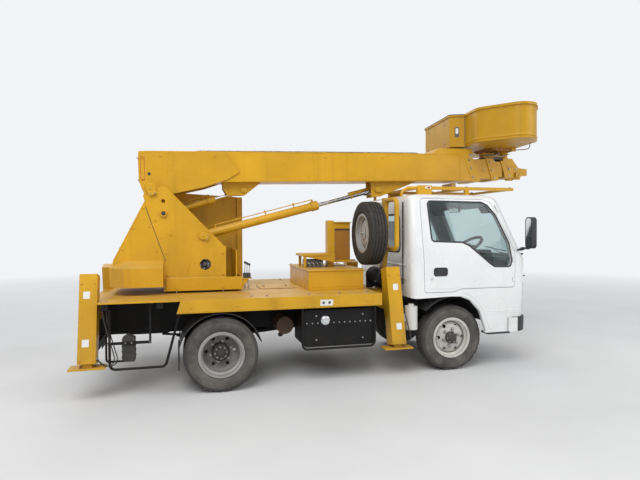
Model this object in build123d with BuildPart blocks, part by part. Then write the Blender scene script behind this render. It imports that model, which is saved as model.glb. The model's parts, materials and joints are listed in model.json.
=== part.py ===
from build123d import *
import os
from math import atan2, cos, degrees, hypot, radians, sin

os.makedirs("parts", exist_ok=True)

# Millimetres. X forward, Y to the truck's left, Z up, ground at Z = 0.
# A "station" is a distance ahead of the rear axle, so side outlines are (station, height) points.

# Chassis
WHEELBASE = 2490.0
FRAME_HALF_WIDTH = 350.0
RAIL_FLANGE = 60.0
RAIL_WEB = 8.0
RAIL_BOTTOM = 500.0
RAIL_TOP = 680.0
FRAME_REAR = -1190.0
FRAME_FRONT = 3250.0
SUBFRAME_REAR = -1110.0
SUBFRAME_FRONT = 1735.0

# Wheels
TYRE_RADIUS = 355.0
TYRE_WIDTH = 205.0
RIM_RADIUS = 220.0
BEAD_RADIUS = 204.0
BEAD_HALF_WIDTH = 78.0
FRONT_TRACK = 1390.0
TWIN_SPACING = 235.0
REAR_OUTER_FACE = 923.0
HAND_HOLES = 6
HUB_RADIUS = 62.0
KINGPIN_OFFSET = 545.0
KINGPIN_RADIUS = 20.0
RUNNING_GAP = 0.3

# Deck
DECK_TOP = 890.0
DECK_SHEET = 16.0
DECK_HALF_WIDTH = 930.0
DECK_FRONT = 1618.0
DECK_REAR = -1100.0
SKIRT_BOTTOM = 768.0
SKIRT_REAR = -371.0
SKIRT_LEAN = 39.0
SKIRT_SHEET = 12.0

# Turntable
SLEW_X = -150.0
SLEW_RADIUS = 330.0
RING_HEIGHT = 24.0
CHEEK_HALF_WIDTH = 300.0
CHEEK_SHEET = 16.0
SKIRT_HALF_WIDTH = 340.0

# Boom, in its own frame: origin at the pivot, first axis along the boom
PIVOT_X = -660.0
PIVOT_Z = 1975.0
BOOM_TILT = 1.4
BOOM_BOTTOM = 69.0
BOOM_HEIGHT = 332.0
BOOM_HALF_WIDTH = 170.0
BOOM_WALL = 10.0
BOOM_REAR = -122.0
BASE_FRONT = 3800.0
MID_FRONT = 4100.0
TIP_FRONT = 4290.0
MID_HALF_WIDTH = 140.0
MID_BOTTOM = 96.0
MID_HEIGHT = 246.0
TIP_HALF_WIDTH = 112.0
TIP_INSET = 27.0
SECTION_WALL = 8.0
PAD_GAP = 0.3

# Cylinders: pins as (station, height); the upper ones are (along, above) in the boom's frame
LIFT_FOOT = (-142.0, 1483.0)
LIFT_HEAD = (2550.0, -21.0)
LIFT_BARREL_RADIUS = 48.0
LIFT_ROD_RADIUS = 24.0
LIFT_BARREL_LENGTH = 1360.0
LEVEL_FOOT = (-538.0, 1715.0)
LEVEL_HEAD = (960.0, -14.0)
LEVEL_BARREL_RADIUS = 34.0
LEVEL_ROD_RADIUS = 17.0
LEVEL_BARREL_LENGTH = 560.0

# Bucket
TIP_PIN = (3800.0, 2235.0)
SWING_X = 3655.0
BUCKET_TURN = -7.0
BUCKET_BOTTOM = 2553.0
BUCKET_RIM = 2950.0
BUCKET_WALL = 12.0

# Cab
CAB_WALL = 38.0
CAB_FLOOR_BOTTOM = 850.0
CAB_FLOOR_SHEET = 35.0
GLASS_SHEET = 6.0
DOOR_GAP = 5.0

# Outriggers
LEG_TILT = 13.0
LEG_STATIONS = (-1185.0, 1810.0)
LEG_SLEEVE = 155.0
LEG_SLEEVE_WALL = 8.0
LEG_BOX = 122.0
LEG_FOOT_Y = DECK_HALF_WIDTH - 75
LEG_FOOT_Z = 340.0
LEG_HEIGHT = 790.0
FOOT_LENGTH = 310.0
FOOT_WIDTH = 160.0
FOOT_SHEET = 16.0

# The origin is under the middle of the overall length, from the rear feet to the boom head's nose
NOSE_STATION = 3930.0
REAR_AXLE_X = -(NOSE_STATION + LEG_STATIONS[0] - FOOT_LENGTH / 2) / 2


def side(y):
    """Upright plane at y, seen from the right: local x is the station, local y the height."""
    return Plane(origin=(REAR_AXLE_X, y, 0), x_dir=(1, 0, 0), z_dir=(0, -1, 0))


def plan(z):
    """Level plane at z: local x is the station."""
    return Plane(origin=(REAR_AXLE_X, 0, z))


def cross(station):
    """Upright plane across the truck: local x is Y, local y is the height."""
    return Plane(origin=(REAR_AXLE_X + station, 0, 0), x_dir=(0, 1, 0), z_dir=(1, 0, 0))


def boom_side(y):
    """Side plane in the boom's frame: local x runs along the boom from its pivot."""
    lean = radians(BOOM_TILT)
    return Plane(
        origin=(REAR_AXLE_X + PIVOT_X, y, PIVOT_Z),
        x_dir=(cos(lean), 0, sin(lean)),
        z_dir=(0, -1, 0),
    )


def boom_point(along, above):
    """Station and height of a point given in the boom's frame."""
    lean = radians(BOOM_TILT)
    return (
        PIVOT_X + along * cos(lean) - above * sin(lean),
        PIVOT_Z + along * sin(lean) + above * cos(lean),
    )


def shape(plane, points, radius=0):
    """Closed outline on a plane, with its corners rounded when a radius is given."""
    with BuildSketch(plane) as sketch:
        with BuildLine():
            if radius:
                FilletPolyline(*points, radius=radius, close=True)
            else:
                Polyline(*points, close=True)
        make_face()
    return sketch.sketch


def box(low, high, mode=Mode.ADD):
    """Box between two corners, each (station, y, height)."""
    size = [b - a for a, b in zip(low, high)]
    middle = [(a + b) / 2 for a, b in zip(low, high)]
    with Locations((REAR_AXLE_X + middle[0], middle[1], middle[2])):
        Box(*size, mode=mode)


def rod(start, end, radius, mode=Mode.ADD):
    """Round bar between two points, each (station, y, height)."""
    a = Vector(REAR_AXLE_X + start[0], start[1], start[2])
    b = Vector(REAR_AXLE_X + end[0], end[1], end[2])
    with BuildSketch(Plane(origin=a, z_dir=b - a)) as section:
        Circle(radius)
    extrude(section.sketch, amount=(b - a).length, mode=mode)


def bent_tube(points, bend, radius):
    """Round tube along straight runs joined by bends; the points are (station, y, height)."""
    route = [Vector(REAR_AXLE_X + station, y, height) for station, y, height in points]
    with BuildLine() as path:
        FilletPolyline(*route, radius=bend)
    with BuildSketch(Plane(origin=path.line @ 0, z_dir=path.line % 0)) as section:
        Circle(radius)
    sweep(section.sketch, path=path.line)


def save(part, name):
    part.label = name
    export_step(part, f"parts/{name}.step")


# Ladder frame: two channel rails, cross members, the upper subframe and the rear guard
CROSS_MEMBERS = (-1150.0, -560.0, 420.0, 1250.0, 2050.0, 3200.0)
with BuildPart() as chassis_frame:
    box((FRAME_REAR, FRAME_HALF_WIDTH - RAIL_FLANGE, RAIL_BOTTOM), (FRAME_FRONT, FRAME_HALF_WIDTH, RAIL_TOP))
    box(
        (FRAME_REAR - 1, FRAME_HALF_WIDTH - RAIL_FLANGE - 1, RAIL_BOTTOM + RAIL_WEB),
        (FRAME_FRONT + 1, FRAME_HALF_WIDTH - RAIL_WEB, RAIL_TOP - RAIL_WEB),
        Mode.SUBTRACT,
    )
    box(
        (SUBFRAME_REAR, FRAME_HALF_WIDTH - RAIL_FLANGE, RAIL_TOP),
        (SUBFRAME_FRONT, FRAME_HALF_WIDTH, DECK_TOP - DECK_SHEET - 40),
    )
    mirror(about=Plane.XZ)
    for station in CROSS_MEMBERS:
        box(
            (station - 40, -FRAME_HALF_WIDTH + RAIL_WEB, RAIL_BOTTOM + 30),
            (station + 40, FRAME_HALF_WIDTH - RAIL_WEB, RAIL_TOP - RAIL_WEB),
        )
    for station in (-1040.0, -560.0, 100.0, 760.0, 1420.0):
        box(
            (station - 30, -DECK_HALF_WIDTH + 66, DECK_TOP - DECK_SHEET - 60),
            (station + 30, DECK_HALF_WIDTH - 66, DECK_TOP - DECK_SHEET),
        )
    for station in (2085.0, 3180.0):
        for y in (-315.0, 315.0):
            box((station - 30, y - 25, RAIL_TOP), (station + 30, y + 25, CAB_FLOOR_BOTTOM))
    box((-1160, -700, 430), (-1110, 700, 500))
    for y in (-FRAME_HALF_WIDTH + 30, FRAME_HALF_WIDTH - 30):
        box((-1160, y - 25, 430), (-1110, y + 25, RAIL_BOTTOM + 20))
save(chassis_frame.part, "chassis_frame")

# Axles, each with its pair of leaf springs
AXLE_RADIUS = 55.0
AXLE_END = REAR_OUTER_FACE - TYRE_WIDTH / 2 - TWIN_SPACING / 2 - 40
SPRING_Y = 330.0
SPRING_WIDTH = 60.0
LEAF = 12.0
LEAF_RISE = 30.0


def leaf_pack(centre, half_length, height):
    """Three stacked leaves under each rail, curved up to the hangers at their ends."""
    for count in range(3):
        reach = half_length * (1 - 0.25 * count)
        drop = LEAF * count
        rise = LEAF_RISE * (reach / half_length) ** 2
        points = [
            (centre - reach, height + rise - drop),
            (centre, height - drop),
            (centre + reach, height + rise - drop),
        ]
        with BuildSketch(side(SPRING_Y + SPRING_WIDTH / 2)) as section:
            with BuildLine():
                top = ThreePointArc(*points)
                bottom = ThreePointArc(*[(x, y - LEAF) for x, y in points])
                Line(top @ 0, bottom @ 0)
                Line(top @ 1, bottom @ 1)
            make_face()
        extrude(section.sketch, amount=SPRING_WIDTH)
    for end in (-1, 1):
        x = centre + end * (half_length - 15)
        box((x - 15, SPRING_Y - 26, height + LEAF_RISE - 10), (x + 15, SPRING_Y + 18, RAIL_BOTTOM))


with BuildPart() as rear_axle:
    rod((0, -AXLE_END, TYRE_RADIUS), (0, AXLE_END, TYRE_RADIUS), AXLE_RADIUS)
    with Locations((REAR_AXLE_X, 0, TYRE_RADIUS)):
        Sphere(150)
    leaf_pack(0.0, 560.0, TYRE_RADIUS + 100)
    box((-50, SPRING_Y - 34, TYRE_RADIUS + 30), (50, SPRING_Y + 34, TYRE_RADIUS + 66))
    mirror(about=Plane.XZ)
    rod((100, 0, TYRE_RADIUS + 20), (1700, 0, 520), 38)
save(rear_axle.part, "rear_axle")

with BuildPart() as front_axle:
    box((WHEELBASE - 40, -KINGPIN_OFFSET + 60, 300), (WHEELBASE + 40, KINGPIN_OFFSET - 60, 370))
    leaf_pack(WHEELBASE, 520.0, 416.0)
    box((WHEELBASE - 50, SPRING_Y - 34, 360), (WHEELBASE + 50, SPRING_Y + 34, 392))
    mirror(about=Plane.XZ)
    for y in (-KINGPIN_OFFSET, KINGPIN_OFFSET):
        rod((WHEELBASE, y, 315), (WHEELBASE, y, 395), 40)
        inner = y * (1 - 90 / KINGPIN_OFFSET)
        box(
            (WHEELBASE - 32, min(y, inner), 320),
            (WHEELBASE + 32, max(y, inner), 385),
        )
        rod((WHEELBASE, y, 300), (WHEELBASE, y, 410), KINGPIN_RADIUS + RUNNING_GAP, Mode.SUBTRACT)
save(front_axle.part, "front_axle")

with BuildPart() as engine:
    box((2130, -240, 400), (3120, 240, 840))
    for station in (2260.0, 2980.0):
        box((station - 40, -330, RAIL_BOTTOM + RAIL_WEB), (station + 40, 330, RAIL_BOTTOM + RAIL_WEB + 36))
save(engine.part, "engine")

# Steered knuckles: fork round the axle's eye, kingpin, stub axle and steering arm
for name, hand in (("knuckle_left", 1), ("knuckle_right", -1)):
    with BuildPart() as knuckle:
        y = hand * KINGPIN_OFFSET
        outer = hand * (FRONT_TRACK / 2 - 10)
        rod((WHEELBASE, y, 270), (WHEELBASE, y, 440), KINGPIN_RADIUS)
        for low, high in ((270, 310), (400, 440)):
            rod((WHEELBASE, y, low), (WHEELBASE, y, high), 38)
            box((WHEELBASE - 30, min(y, outer - hand * 85), low), (WHEELBASE + 30, max(y, outer - hand * 85), high))
        inside = y + hand * 45
        box(
            (WHEELBASE - 45, min(inside, inside + hand * 20), 270),
            (WHEELBASE + 45, max(inside, inside + hand * 20), 440),
        )
        rod((WHEELBASE, inside, TYRE_RADIUS), (WHEELBASE, outer, TYRE_RADIUS), 30)
        box((WHEELBASE - 190, y - 15, 270), (WHEELBASE, y + 15, 292))
    save(knuckle.part, name)


def tyre_ring(middle):
    """Tyre revolved about its axle line, its centre plane at Y = middle."""
    half = TYRE_WIDTH / 2
    tread = half - 22
    with BuildSketch(Plane(origin=(0, middle, 0), x_dir=(0, 1, 0), z_dir=(1, 0, 0))) as section:
        with BuildLine():
            Line((-BEAD_HALF_WIDTH, BEAD_RADIUS), (BEAD_HALF_WIDTH, BEAD_RADIUS))
            for hand in (-1, 1):
                Line((hand * BEAD_HALF_WIDTH, BEAD_RADIUS), (hand * BEAD_HALF_WIDTH, RIM_RADIUS + 4))
                ThreePointArc(
                    (hand * BEAD_HALF_WIDTH, RIM_RADIUS + 4),
                    (hand * half, (BEAD_RADIUS + TYRE_RADIUS) / 2 + 10),
                    (hand * (half - 8), TYRE_RADIUS - 22),
                )
                Line((hand * (half - 8), TYRE_RADIUS - 22), (hand * tread, TYRE_RADIUS - 4))
            ThreePointArc((-tread, TYRE_RADIUS - 4), (0, TYRE_RADIUS), (tread, TYRE_RADIUS - 4))
        make_face()
    revolve(section.sketch, axis=Axis.Y)


def rim_ring(middle, disc, outward):
    """Drop-centre rim with its dished disc; disc rows are (across, radius) from rim to hub."""
    edge = BEAD_RADIUS - RUNNING_GAP
    flange = BEAD_HALF_WIDTH + RUNNING_GAP
    lip = flange + 8
    well = [(-lip, RIM_RADIUS), (-flange, RIM_RADIUS), (-flange, edge), (-46, edge), (-34, 186), (34, 186)]
    well += [(46, edge), (flange, edge), (flange, RIM_RADIUS), (lip, RIM_RADIUS), (lip, edge - 8)]
    well += [(50, edge - 8), (38, 178), (-38, 178), (-50, edge - 8), (-lip, edge - 8)]
    plane = Plane(origin=(0, middle, 0), x_dir=(0, outward, 0), z_dir=(outward, 0, 0))
    revolve(shape(plane, well), axis=Axis.Y)
    sheet = 8
    back = [(across - sheet, radius) for across, radius in reversed(disc)]
    revolve(shape(plane, list(disc) + back), axis=Axis.Y)
    hole_radius = (disc[1][1] + disc[2][1]) / 2
    hole_plane = Plane(origin=(0, middle, 0), x_dir=(1, 0, 0), z_dir=(0, outward, 0))
    with BuildSketch(hole_plane) as holes:
        with PolarLocations(hole_radius, HAND_HOLES):
            Circle(19)
    extrude(holes.sketch, amount=150, both=True, mode=Mode.SUBTRACT)


FRONT_DISC = ((-4, 182), (34, 160), (56, 118), (60, 88), (60, 0))
REAR_DISC = ((-40, 182), (-92, 156), (-110, 118), (-TWIN_SPACING / 2 + 8, 92), (-TWIN_SPACING / 2 + 8, 0))


def moved_to_axle(part, station):
    return part.moved(Location((REAR_AXLE_X + station, 0, TYRE_RADIUS)))


for name, hand in (("left", 1), ("right", -1)):
    front_middle = hand * FRONT_TRACK / 2
    with BuildPart() as tyre_front:
        tyre_ring(front_middle)
    save(moved_to_axle(tyre_front.part, WHEELBASE), f"tyre_front_{name}")
    with BuildPart() as rim_front:
        rim_ring(front_middle, FRONT_DISC, hand)
        hub_plane = Plane(origin=(0, front_middle, 0), x_dir=(1, 0, 0), z_dir=(0, hand, 0))
        with BuildSketch(hub_plane.offset(-20)) as hub:
            Circle(HUB_RADIUS)
        extrude(hub.sketch, amount=108)
        with BuildSketch(hub_plane.offset(-21)) as socket:
            Circle(30 + RUNNING_GAP)
        extrude(socket.sketch, amount=30, mode=Mode.SUBTRACT)
    save(moved_to_axle(rim_front.part, WHEELBASE), f"rim_front_{name}")

    outer_middle = hand * (REAR_OUTER_FACE - TYRE_WIDTH / 2)
    inner_middle = outer_middle - hand * TWIN_SPACING
    with BuildPart() as tyres_rear:
        tyre_ring(outer_middle)
        tyre_ring(inner_middle)
    save(moved_to_axle(tyres_rear.part, 0), f"tyres_rear_{name}")
    with BuildPart() as rims_rear:
        rim_ring(outer_middle, REAR_DISC, hand)
        rim_ring(inner_middle, REAR_DISC, -hand)
        hub_plane = Plane(origin=(0, (outer_middle + inner_middle) / 2, 0), x_dir=(1, 0, 0), z_dir=(0, hand, 0))
        with BuildSketch(hub_plane.offset(-110)) as hub:
            Circle(HUB_RADIUS + 10)
        extrude(hub.sketch, amount=210)
        with BuildSketch(hub_plane.offset(-111)) as socket:
            Circle(AXLE_RADIUS + RUNNING_GAP)
        extrude(socket.sketch, amount=80, mode=Mode.SUBTRACT)
    save(moved_to_axle(rims_rear.part, 0), f"rims_rear_{name}")

# Deck: flat plate, side skirts that start ahead of the turntable, front lip
with BuildPart() as deck:
    box((SKIRT_REAR, -DECK_HALF_WIDTH, DECK_TOP - DECK_SHEET), (DECK_FRONT, DECK_HALF_WIDTH, DECK_TOP))
    box((DECK_REAR, -DECK_HALF_WIDTH + 50, DECK_TOP - DECK_SHEET), (SKIRT_REAR, DECK_HALF_WIDTH - 50, DECK_TOP))
    skirt = [
        (SKIRT_REAR - SKIRT_LEAN, SKIRT_BOTTOM),
        (DECK_FRONT, SKIRT_BOTTOM),
        (DECK_FRONT, DECK_TOP),
        (SKIRT_REAR, DECK_TOP),
    ]
    for y in (-DECK_HALF_WIDTH + SKIRT_SHEET, DECK_HALF_WIDTH):
        extrude(shape(side(y), skirt), amount=SKIRT_SHEET)
save(deck.part, "deck")

# Slew ring between deck and turntable
with BuildPart() as slew_ring:
    with BuildSketch(Plane(origin=(REAR_AXLE_X + SLEW_X, 0, DECK_TOP))) as ring:
        Circle(SLEW_RADIUS)
        Circle(SLEW_RADIUS - 70, mode=Mode.SUBTRACT)
    extrude(ring.sketch, amount=RING_HEIGHT - RUNNING_GAP)
save(slew_ring.part, "slew_ring")

# Turntable: floor, low skirt, right cheek cut to the cylinder, left cheek full height
BASE_Z = DECK_TOP + RING_HEIGHT
RIGHT_CHEEK = [
    (-515, BASE_Z), (95, BASE_Z), (95, 1373), (74, 1380), (-520, 1999), (-716, 1960), (-736, 1893),
    (-722, 1840), (-540, 1236), (-540, BASE_Z),
]
LEFT_CHEEK = [
    (-515, BASE_Z), (270, BASE_Z), (270, 1930), (-420, 1970), (-520, 1999), (-716, 1960), (-736, 1893),
    (-722, 1840), (-540, 1236), (-540, BASE_Z),
]
CHEEK_HOLES = (((-540.0, 1844.0), 20.0), ((-119.0, 1182.0), 58.0))
SKIRT_TOP = 1044.0
SKIRT_REAR_X = -515.0
SKIRT_FRONT_X = 262.0
with BuildPart() as turntable_frame:
    box((-540, -SKIRT_HALF_WIDTH, BASE_Z), (SKIRT_FRONT_X, SKIRT_HALF_WIDTH, BASE_Z + 16))
    box((SKIRT_REAR_X, -SKIRT_HALF_WIDTH, BASE_Z), (SKIRT_FRONT_X, SKIRT_HALF_WIDTH, SKIRT_TOP))
    box(
        (SKIRT_REAR_X + 12, -SKIRT_HALF_WIDTH + 12, BASE_Z + 16),
        (SKIRT_FRONT_X - 12, SKIRT_HALF_WIDTH - 12, SKIRT_TOP + 1),
        Mode.SUBTRACT,
    )
    extrude(shape(side(-CHEEK_HALF_WIDTH + CHEEK_SHEET), RIGHT_CHEEK), amount=CHEEK_SHEET)
    extrude(shape(side(CHEEK_HALF_WIDTH), LEFT_CHEEK), amount=CHEEK_SHEET)
    for (station, height), radius in CHEEK_HOLES:
        rod((station, -CHEEK_HALF_WIDTH - 1, height), (station, 0, height), radius, Mode.SUBTRACT)
    box((270, CHEEK_HALF_WIDTH - 40, BASE_Z), (330, CHEEK_HALF_WIDTH, 1925))
    box((200, 200, BASE_Z), (330, SKIRT_HALF_WIDTH, BASE_Z + 16))
    box((200, -CHEEK_HALF_WIDTH, BASE_Z), (212, CHEEK_HALF_WIDTH, 1330))
    for foot, radius in ((LIFT_FOOT, 30.0), (LEVEL_FOOT, 22.0)):
        rod((foot[0], -CHEEK_HALF_WIDTH - 14, foot[1]), (foot[0], -62, foot[1]), radius)
        rod((foot[0], 62, foot[1]), (foot[0], CHEEK_HALF_WIDTH + 14, foot[1]), radius)
        rod((foot[0], -63, foot[1]), (foot[0], 63, foot[1]), radius - 6)
        for hand in (-1, 1):
            rod(
                (foot[0], hand * (CHEEK_HALF_WIDTH + 2), foot[1]),
                (foot[0], hand * (CHEEK_HALF_WIDTH + 22), foot[1]),
                radius + 14,
            )
    for hand in (-1, 1):
        rod(
            (PIVOT_X, hand * (BOOM_HALF_WIDTH + 17), PIVOT_Z),
            (PIVOT_X, hand * (CHEEK_HALF_WIDTH + 22), PIVOT_Z),
            34,
        )
        rod((PIVOT_X, hand * (CHEEK_HALF_WIDTH - 1), PIVOT_Z), (PIVOT_X, hand * (CHEEK_HALF_WIDTH + 22), PIVOT_Z), 52)
    rod((PIVOT_X, -CHEEK_HALF_WIDTH, PIVOT_Z), (PIVOT_X, CHEEK_HALF_WIDTH, PIVOT_Z), 26)
save(turntable_frame.part, "turntable_frame")

# Counterweight: sloping back cover that swells into a low bulge
COVER_FRONT = -540.0 - RUNNING_GAP
COVER_SIDE = [(-724, 1840), (-745, 1800), (-1032, 1237), (-1032, 1000), (COVER_FRONT, 1000), (COVER_FRONT, 1236)]
BULGE = ((975.0, 495.0, -1055.0), (1165.0, 500.0, -1062.0), (1236.0, 302.0, -1036.0))
with BuildPart() as counterweight:
    extrude(shape(side(CHEEK_HALF_WIDTH), COVER_SIDE), amount=2 * CHEEK_HALF_WIDTH)
    for lower, upper in zip(BULGE, BULGE[1:]):
        sections = []
        for height, half_width, rear in (lower, upper):
            corner = 150.0
            points = [
                (COVER_FRONT, -half_width), (rear + corner, -half_width), (rear, -half_width + corner),
                (rear, half_width - corner), (rear + corner, half_width), (COVER_FRONT, half_width),
            ]
            sections.append(shape(plan(height), points))
        loft(sections, ruled=True)
save(counterweight.part, "counterweight")

# Boom base: box section with a hump over its front and a collar at its mouth
BOOM_TOP = BOOM_BOTTOM + BOOM_HEIGHT
EAR = [
    (BOOM_REAR + 6, BOOM_TOP - 6), (781, BOOM_TOP - 6), (925, 177), (794, 95), (548, 16), (20, -93),
    (-60, -75), (-95, 0), (BOOM_REAR + 6, BOOM_BOTTOM),
]
LEVEL_BRACKET = [(744, BOOM_BOTTOM), (744, 5), (790, -70), (990, -66), (1166, BOOM_BOTTOM)]
LIFT_BRACKET = [(2470, BOOM_BOTTOM), (2477, -112), (2590, -102), (3050, BOOM_BOTTOM)]
HUMP = [(3225, BOOM_TOP - 1), (3325, 466), (3772, 466), (3790, BOOM_TOP - 1)]
FRONT_LEAN = 70.0
with BuildPart() as boom_base:
    profile = [
        (BOOM_REAR, BOOM_BOTTOM), (BASE_FRONT, BOOM_BOTTOM), (BASE_FRONT - FRONT_LEAN, BOOM_TOP),
        (BOOM_REAR + 60, BOOM_TOP), (BOOM_REAR, BOOM_TOP - 24),
    ]
    extrude(shape(boom_side(BOOM_HALF_WIDTH), profile), amount=2 * BOOM_HALF_WIDTH)
    inside = [
        (BOOM_REAR + BOOM_WALL, BOOM_BOTTOM + BOOM_WALL), (BASE_FRONT + 20, BOOM_BOTTOM + BOOM_WALL),
        (BASE_FRONT + 20, BOOM_TOP - BOOM_WALL), (BOOM_REAR + BOOM_WALL, BOOM_TOP - BOOM_WALL - 20),
    ]
    half_inside = BOOM_HALF_WIDTH - BOOM_WALL
    extrude(shape(boom_side(half_inside), inside), amount=2 * half_inside, mode=Mode.SUBTRACT)
    extrude(shape(boom_side(BOOM_HALF_WIDTH), HUMP), amount=2 * BOOM_HALF_WIDTH)
    collar = [
        (BASE_FRONT - 30, 60), (BASE_FRONT + 88, 60), (BASE_FRONT - 20, MID_BOTTOM + MID_HEIGHT + 14),
        (BASE_FRONT - 138, MID_BOTTOM + MID_HEIGHT + 14),
    ]
    extrude(shape(boom_side(BOOM_HALF_WIDTH + 8), collar), amount=2 * BOOM_HALF_WIDTH + 16)
    channel = [
        (BASE_FRONT - 400, MID_BOTTOM - PAD_GAP), (BASE_FRONT + 200, MID_BOTTOM - PAD_GAP),
        (BASE_FRONT + 200, MID_BOTTOM + MID_HEIGHT + PAD_GAP), (BASE_FRONT - 400, MID_BOTTOM + MID_HEIGHT + PAD_GAP),
    ]
    half_channel = MID_HALF_WIDTH + PAD_GAP
    extrude(shape(boom_side(half_channel), channel), amount=2 * half_channel, mode=Mode.SUBTRACT)
save(boom_base.part, "boom_base")

# Plates welded to the boom base: pivot ears at its sides, cylinder brackets below
with BuildPart() as boom_brackets:
    for y in (BOOM_HALF_WIDTH + 16, -BOOM_HALF_WIDTH):
        extrude(shape(boom_side(y), EAR), amount=16)
    for bracket, half, head, radius in ((LEVEL_BRACKET, 75.0, LEVEL_HEAD, 26.0), (LIFT_BRACKET, 90.0, LIFT_HEAD, 34.0)):
        for y in (half, -half + 18):
            extrude(shape(boom_side(y), bracket), amount=18)
        station, height = boom_point(*head)
        for hand in (-1, 1):
            rod((station, hand * (half - 1), height), (station, hand * (half + 16), height), radius)
    rod(
        (PIVOT_X, -BOOM_HALF_WIDTH - 20, PIVOT_Z), (PIVOT_X, BOOM_HALF_WIDTH + 20, PIVOT_Z),
        26 + RUNNING_GAP, Mode.SUBTRACT,
    )
save(boom_brackets.part, "boom_brackets")


def telescope_section(rear, front, bottom, height, half_width, wall):
    """Hollow box that slides in the one before, open at both ends."""
    outline = [(rear, bottom), (front, bottom), (front, bottom + height), (rear, bottom + height)]
    extrude(shape(boom_side(half_width), outline), amount=2 * half_width)
    hollow = [
        (rear - 1, bottom + wall), (front + 1, bottom + wall),
        (front + 1, bottom + height - wall), (rear - 1, bottom + height - wall),
    ]
    half_hollow = half_width - wall
    extrude(shape(boom_side(half_hollow), hollow), amount=2 * half_hollow, mode=Mode.SUBTRACT)


TIP_BOTTOM = MID_BOTTOM + TIP_INSET
TIP_HEIGHT = MID_HEIGHT - 2 * TIP_INSET
with BuildPart() as boom_mid:
    telescope_section(700, MID_FRONT, MID_BOTTOM, MID_HEIGHT, MID_HALF_WIDTH, SECTION_WALL)
    collar = [
        (MID_FRONT - 40, MID_BOTTOM - 18), (MID_FRONT + 62, MID_BOTTOM - 18),
        (MID_FRONT - 18, MID_BOTTOM + MID_HEIGHT + 8), (MID_FRONT - 120, MID_BOTTOM + MID_HEIGHT + 8),
    ]
    extrude(shape(boom_side(MID_HALF_WIDTH + 12), collar), amount=2 * MID_HALF_WIDTH + 24)
    channel = [
        (MID_FRONT - 300, TIP_BOTTOM - PAD_GAP), (MID_FRONT + 200, TIP_BOTTOM - PAD_GAP),
        (MID_FRONT + 200, TIP_BOTTOM + TIP_HEIGHT + PAD_GAP), (MID_FRONT - 300, TIP_BOTTOM + TIP_HEIGHT + PAD_GAP),
    ]
    half_channel = TIP_HALF_WIDTH + PAD_GAP
    extrude(shape(boom_side(half_channel), channel), amount=2 * half_channel, mode=Mode.SUBTRACT)
save(boom_mid.part, "boom_mid")

TIP_PIN_BORE = 20.0
NOSE_ALONG = (NOSE_STATION - PIVOT_X + 138 * sin(radians(BOOM_TILT))) / cos(radians(BOOM_TILT))
with BuildPart() as boom_tip:
    telescope_section(900, TIP_FRONT - 60, TIP_BOTTOM, TIP_HEIGHT, TIP_HALF_WIDTH, SECTION_WALL)
    plate = [
        (TIP_FRONT - 20, TIP_BOTTOM - 14), (TIP_FRONT + 40, TIP_BOTTOM - 14),
        (TIP_FRONT - 20, TIP_BOTTOM + TIP_HEIGHT + 10), (TIP_FRONT - 80, TIP_BOTTOM + TIP_HEIGHT + 10),
    ]
    extrude(shape(boom_side(TIP_HALF_WIDTH + 10), plate), amount=2 * TIP_HALF_WIDTH + 20)
    head = [
        (TIP_FRONT, TIP_BOTTOM - 14), (TIP_FRONT + 130, TIP_BOTTOM - 14), (TIP_FRONT + 205, 130),
        (NOSE_ALONG, 138), (NOSE_ALONG, 222), (TIP_FRONT + 215, 232), (TIP_FRONT + 120, 250), (TIP_FRONT - 20, 250),
    ]
    for y in (TIP_HALF_WIDTH, -TIP_HALF_WIDTH + 16):
        extrude(shape(boom_side(y), head), amount=16)
    for hand in (-1, 1):
        rod(
            (TIP_PIN[0], hand * (TIP_HALF_WIDTH - 1), TIP_PIN[1]), (TIP_PIN[0], hand * (TIP_HALF_WIDTH + 14), TIP_PIN[1]),
            TIP_PIN_BORE + 14,
        )
    rod((TIP_PIN[0], -TIP_HALF_WIDTH, TIP_PIN[1]), (TIP_PIN[0], TIP_HALF_WIDTH, TIP_PIN[1]), TIP_PIN_BORE)
save(boom_tip.part, "boom_tip")


def cylinder_line(foot, head):
    """Length and slope of a cylinder between its two pins."""
    top = boom_point(*head)
    return hypot(top[0] - foot[0], top[1] - foot[1]), atan2(top[1] - foot[1], top[0] - foot[0])


# Each cylinder: barrel on the turntable's pin, rod whose eye meets the boom's bracket
CYLINDERS = (
    ("lift", LIFT_FOOT, LIFT_HEAD, LIFT_BARREL_RADIUS, LIFT_ROD_RADIUS, LIFT_BARREL_LENGTH, 24.0, 62.0),
    ("level", LEVEL_FOOT, LEVEL_HEAD, LEVEL_BARREL_RADIUS, LEVEL_ROD_RADIUS, LEVEL_BARREL_LENGTH, 16.0, 50.0),
)
for name, foot, head, barrel_radius, rod_radius, barrel_length, pin_radius, eye_half in CYLINDERS:
    length, slope = cylinder_line(foot, head)
    direction = (cos(slope), sin(slope))

    def along(distance):
        return (foot[0] + distance * direction[0], 0, foot[1] + distance * direction[1])

    with BuildPart() as barrel:
        rod((foot[0], -eye_half + 8, foot[1]), (foot[0], eye_half - 8, foot[1]), barrel_radius)
        rod(along(10), along(barrel_length), barrel_radius)
        rod(along(barrel_length - 70), along(barrel_length), barrel_radius + 8)
        rod(along(80), along(barrel_length + 1), rod_radius + RUNNING_GAP, Mode.SUBTRACT)
        rod(
            (foot[0], -eye_half, foot[1]), (foot[0], eye_half, foot[1]),
            pin_radius + RUNNING_GAP, Mode.SUBTRACT,
        )
    save(barrel.part, f"{name}_barrel")
    with BuildPart() as piston_rod:
        rod(along(barrel_length - 350), along(length - 10), rod_radius)
        rod(along(length - 150), along(length - 10), rod_radius + 12)
        top = along(length)
        rod((top[0], -eye_half + 8, top[2]), (top[0], eye_half - 8, top[2]), rod_radius + 20)
        rod((top[0], -eye_half, top[2]), (top[0], eye_half, top[2]), pin_radius, Mode.SUBTRACT)
    save(piston_rod.part, f"{name}_rod")

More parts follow.
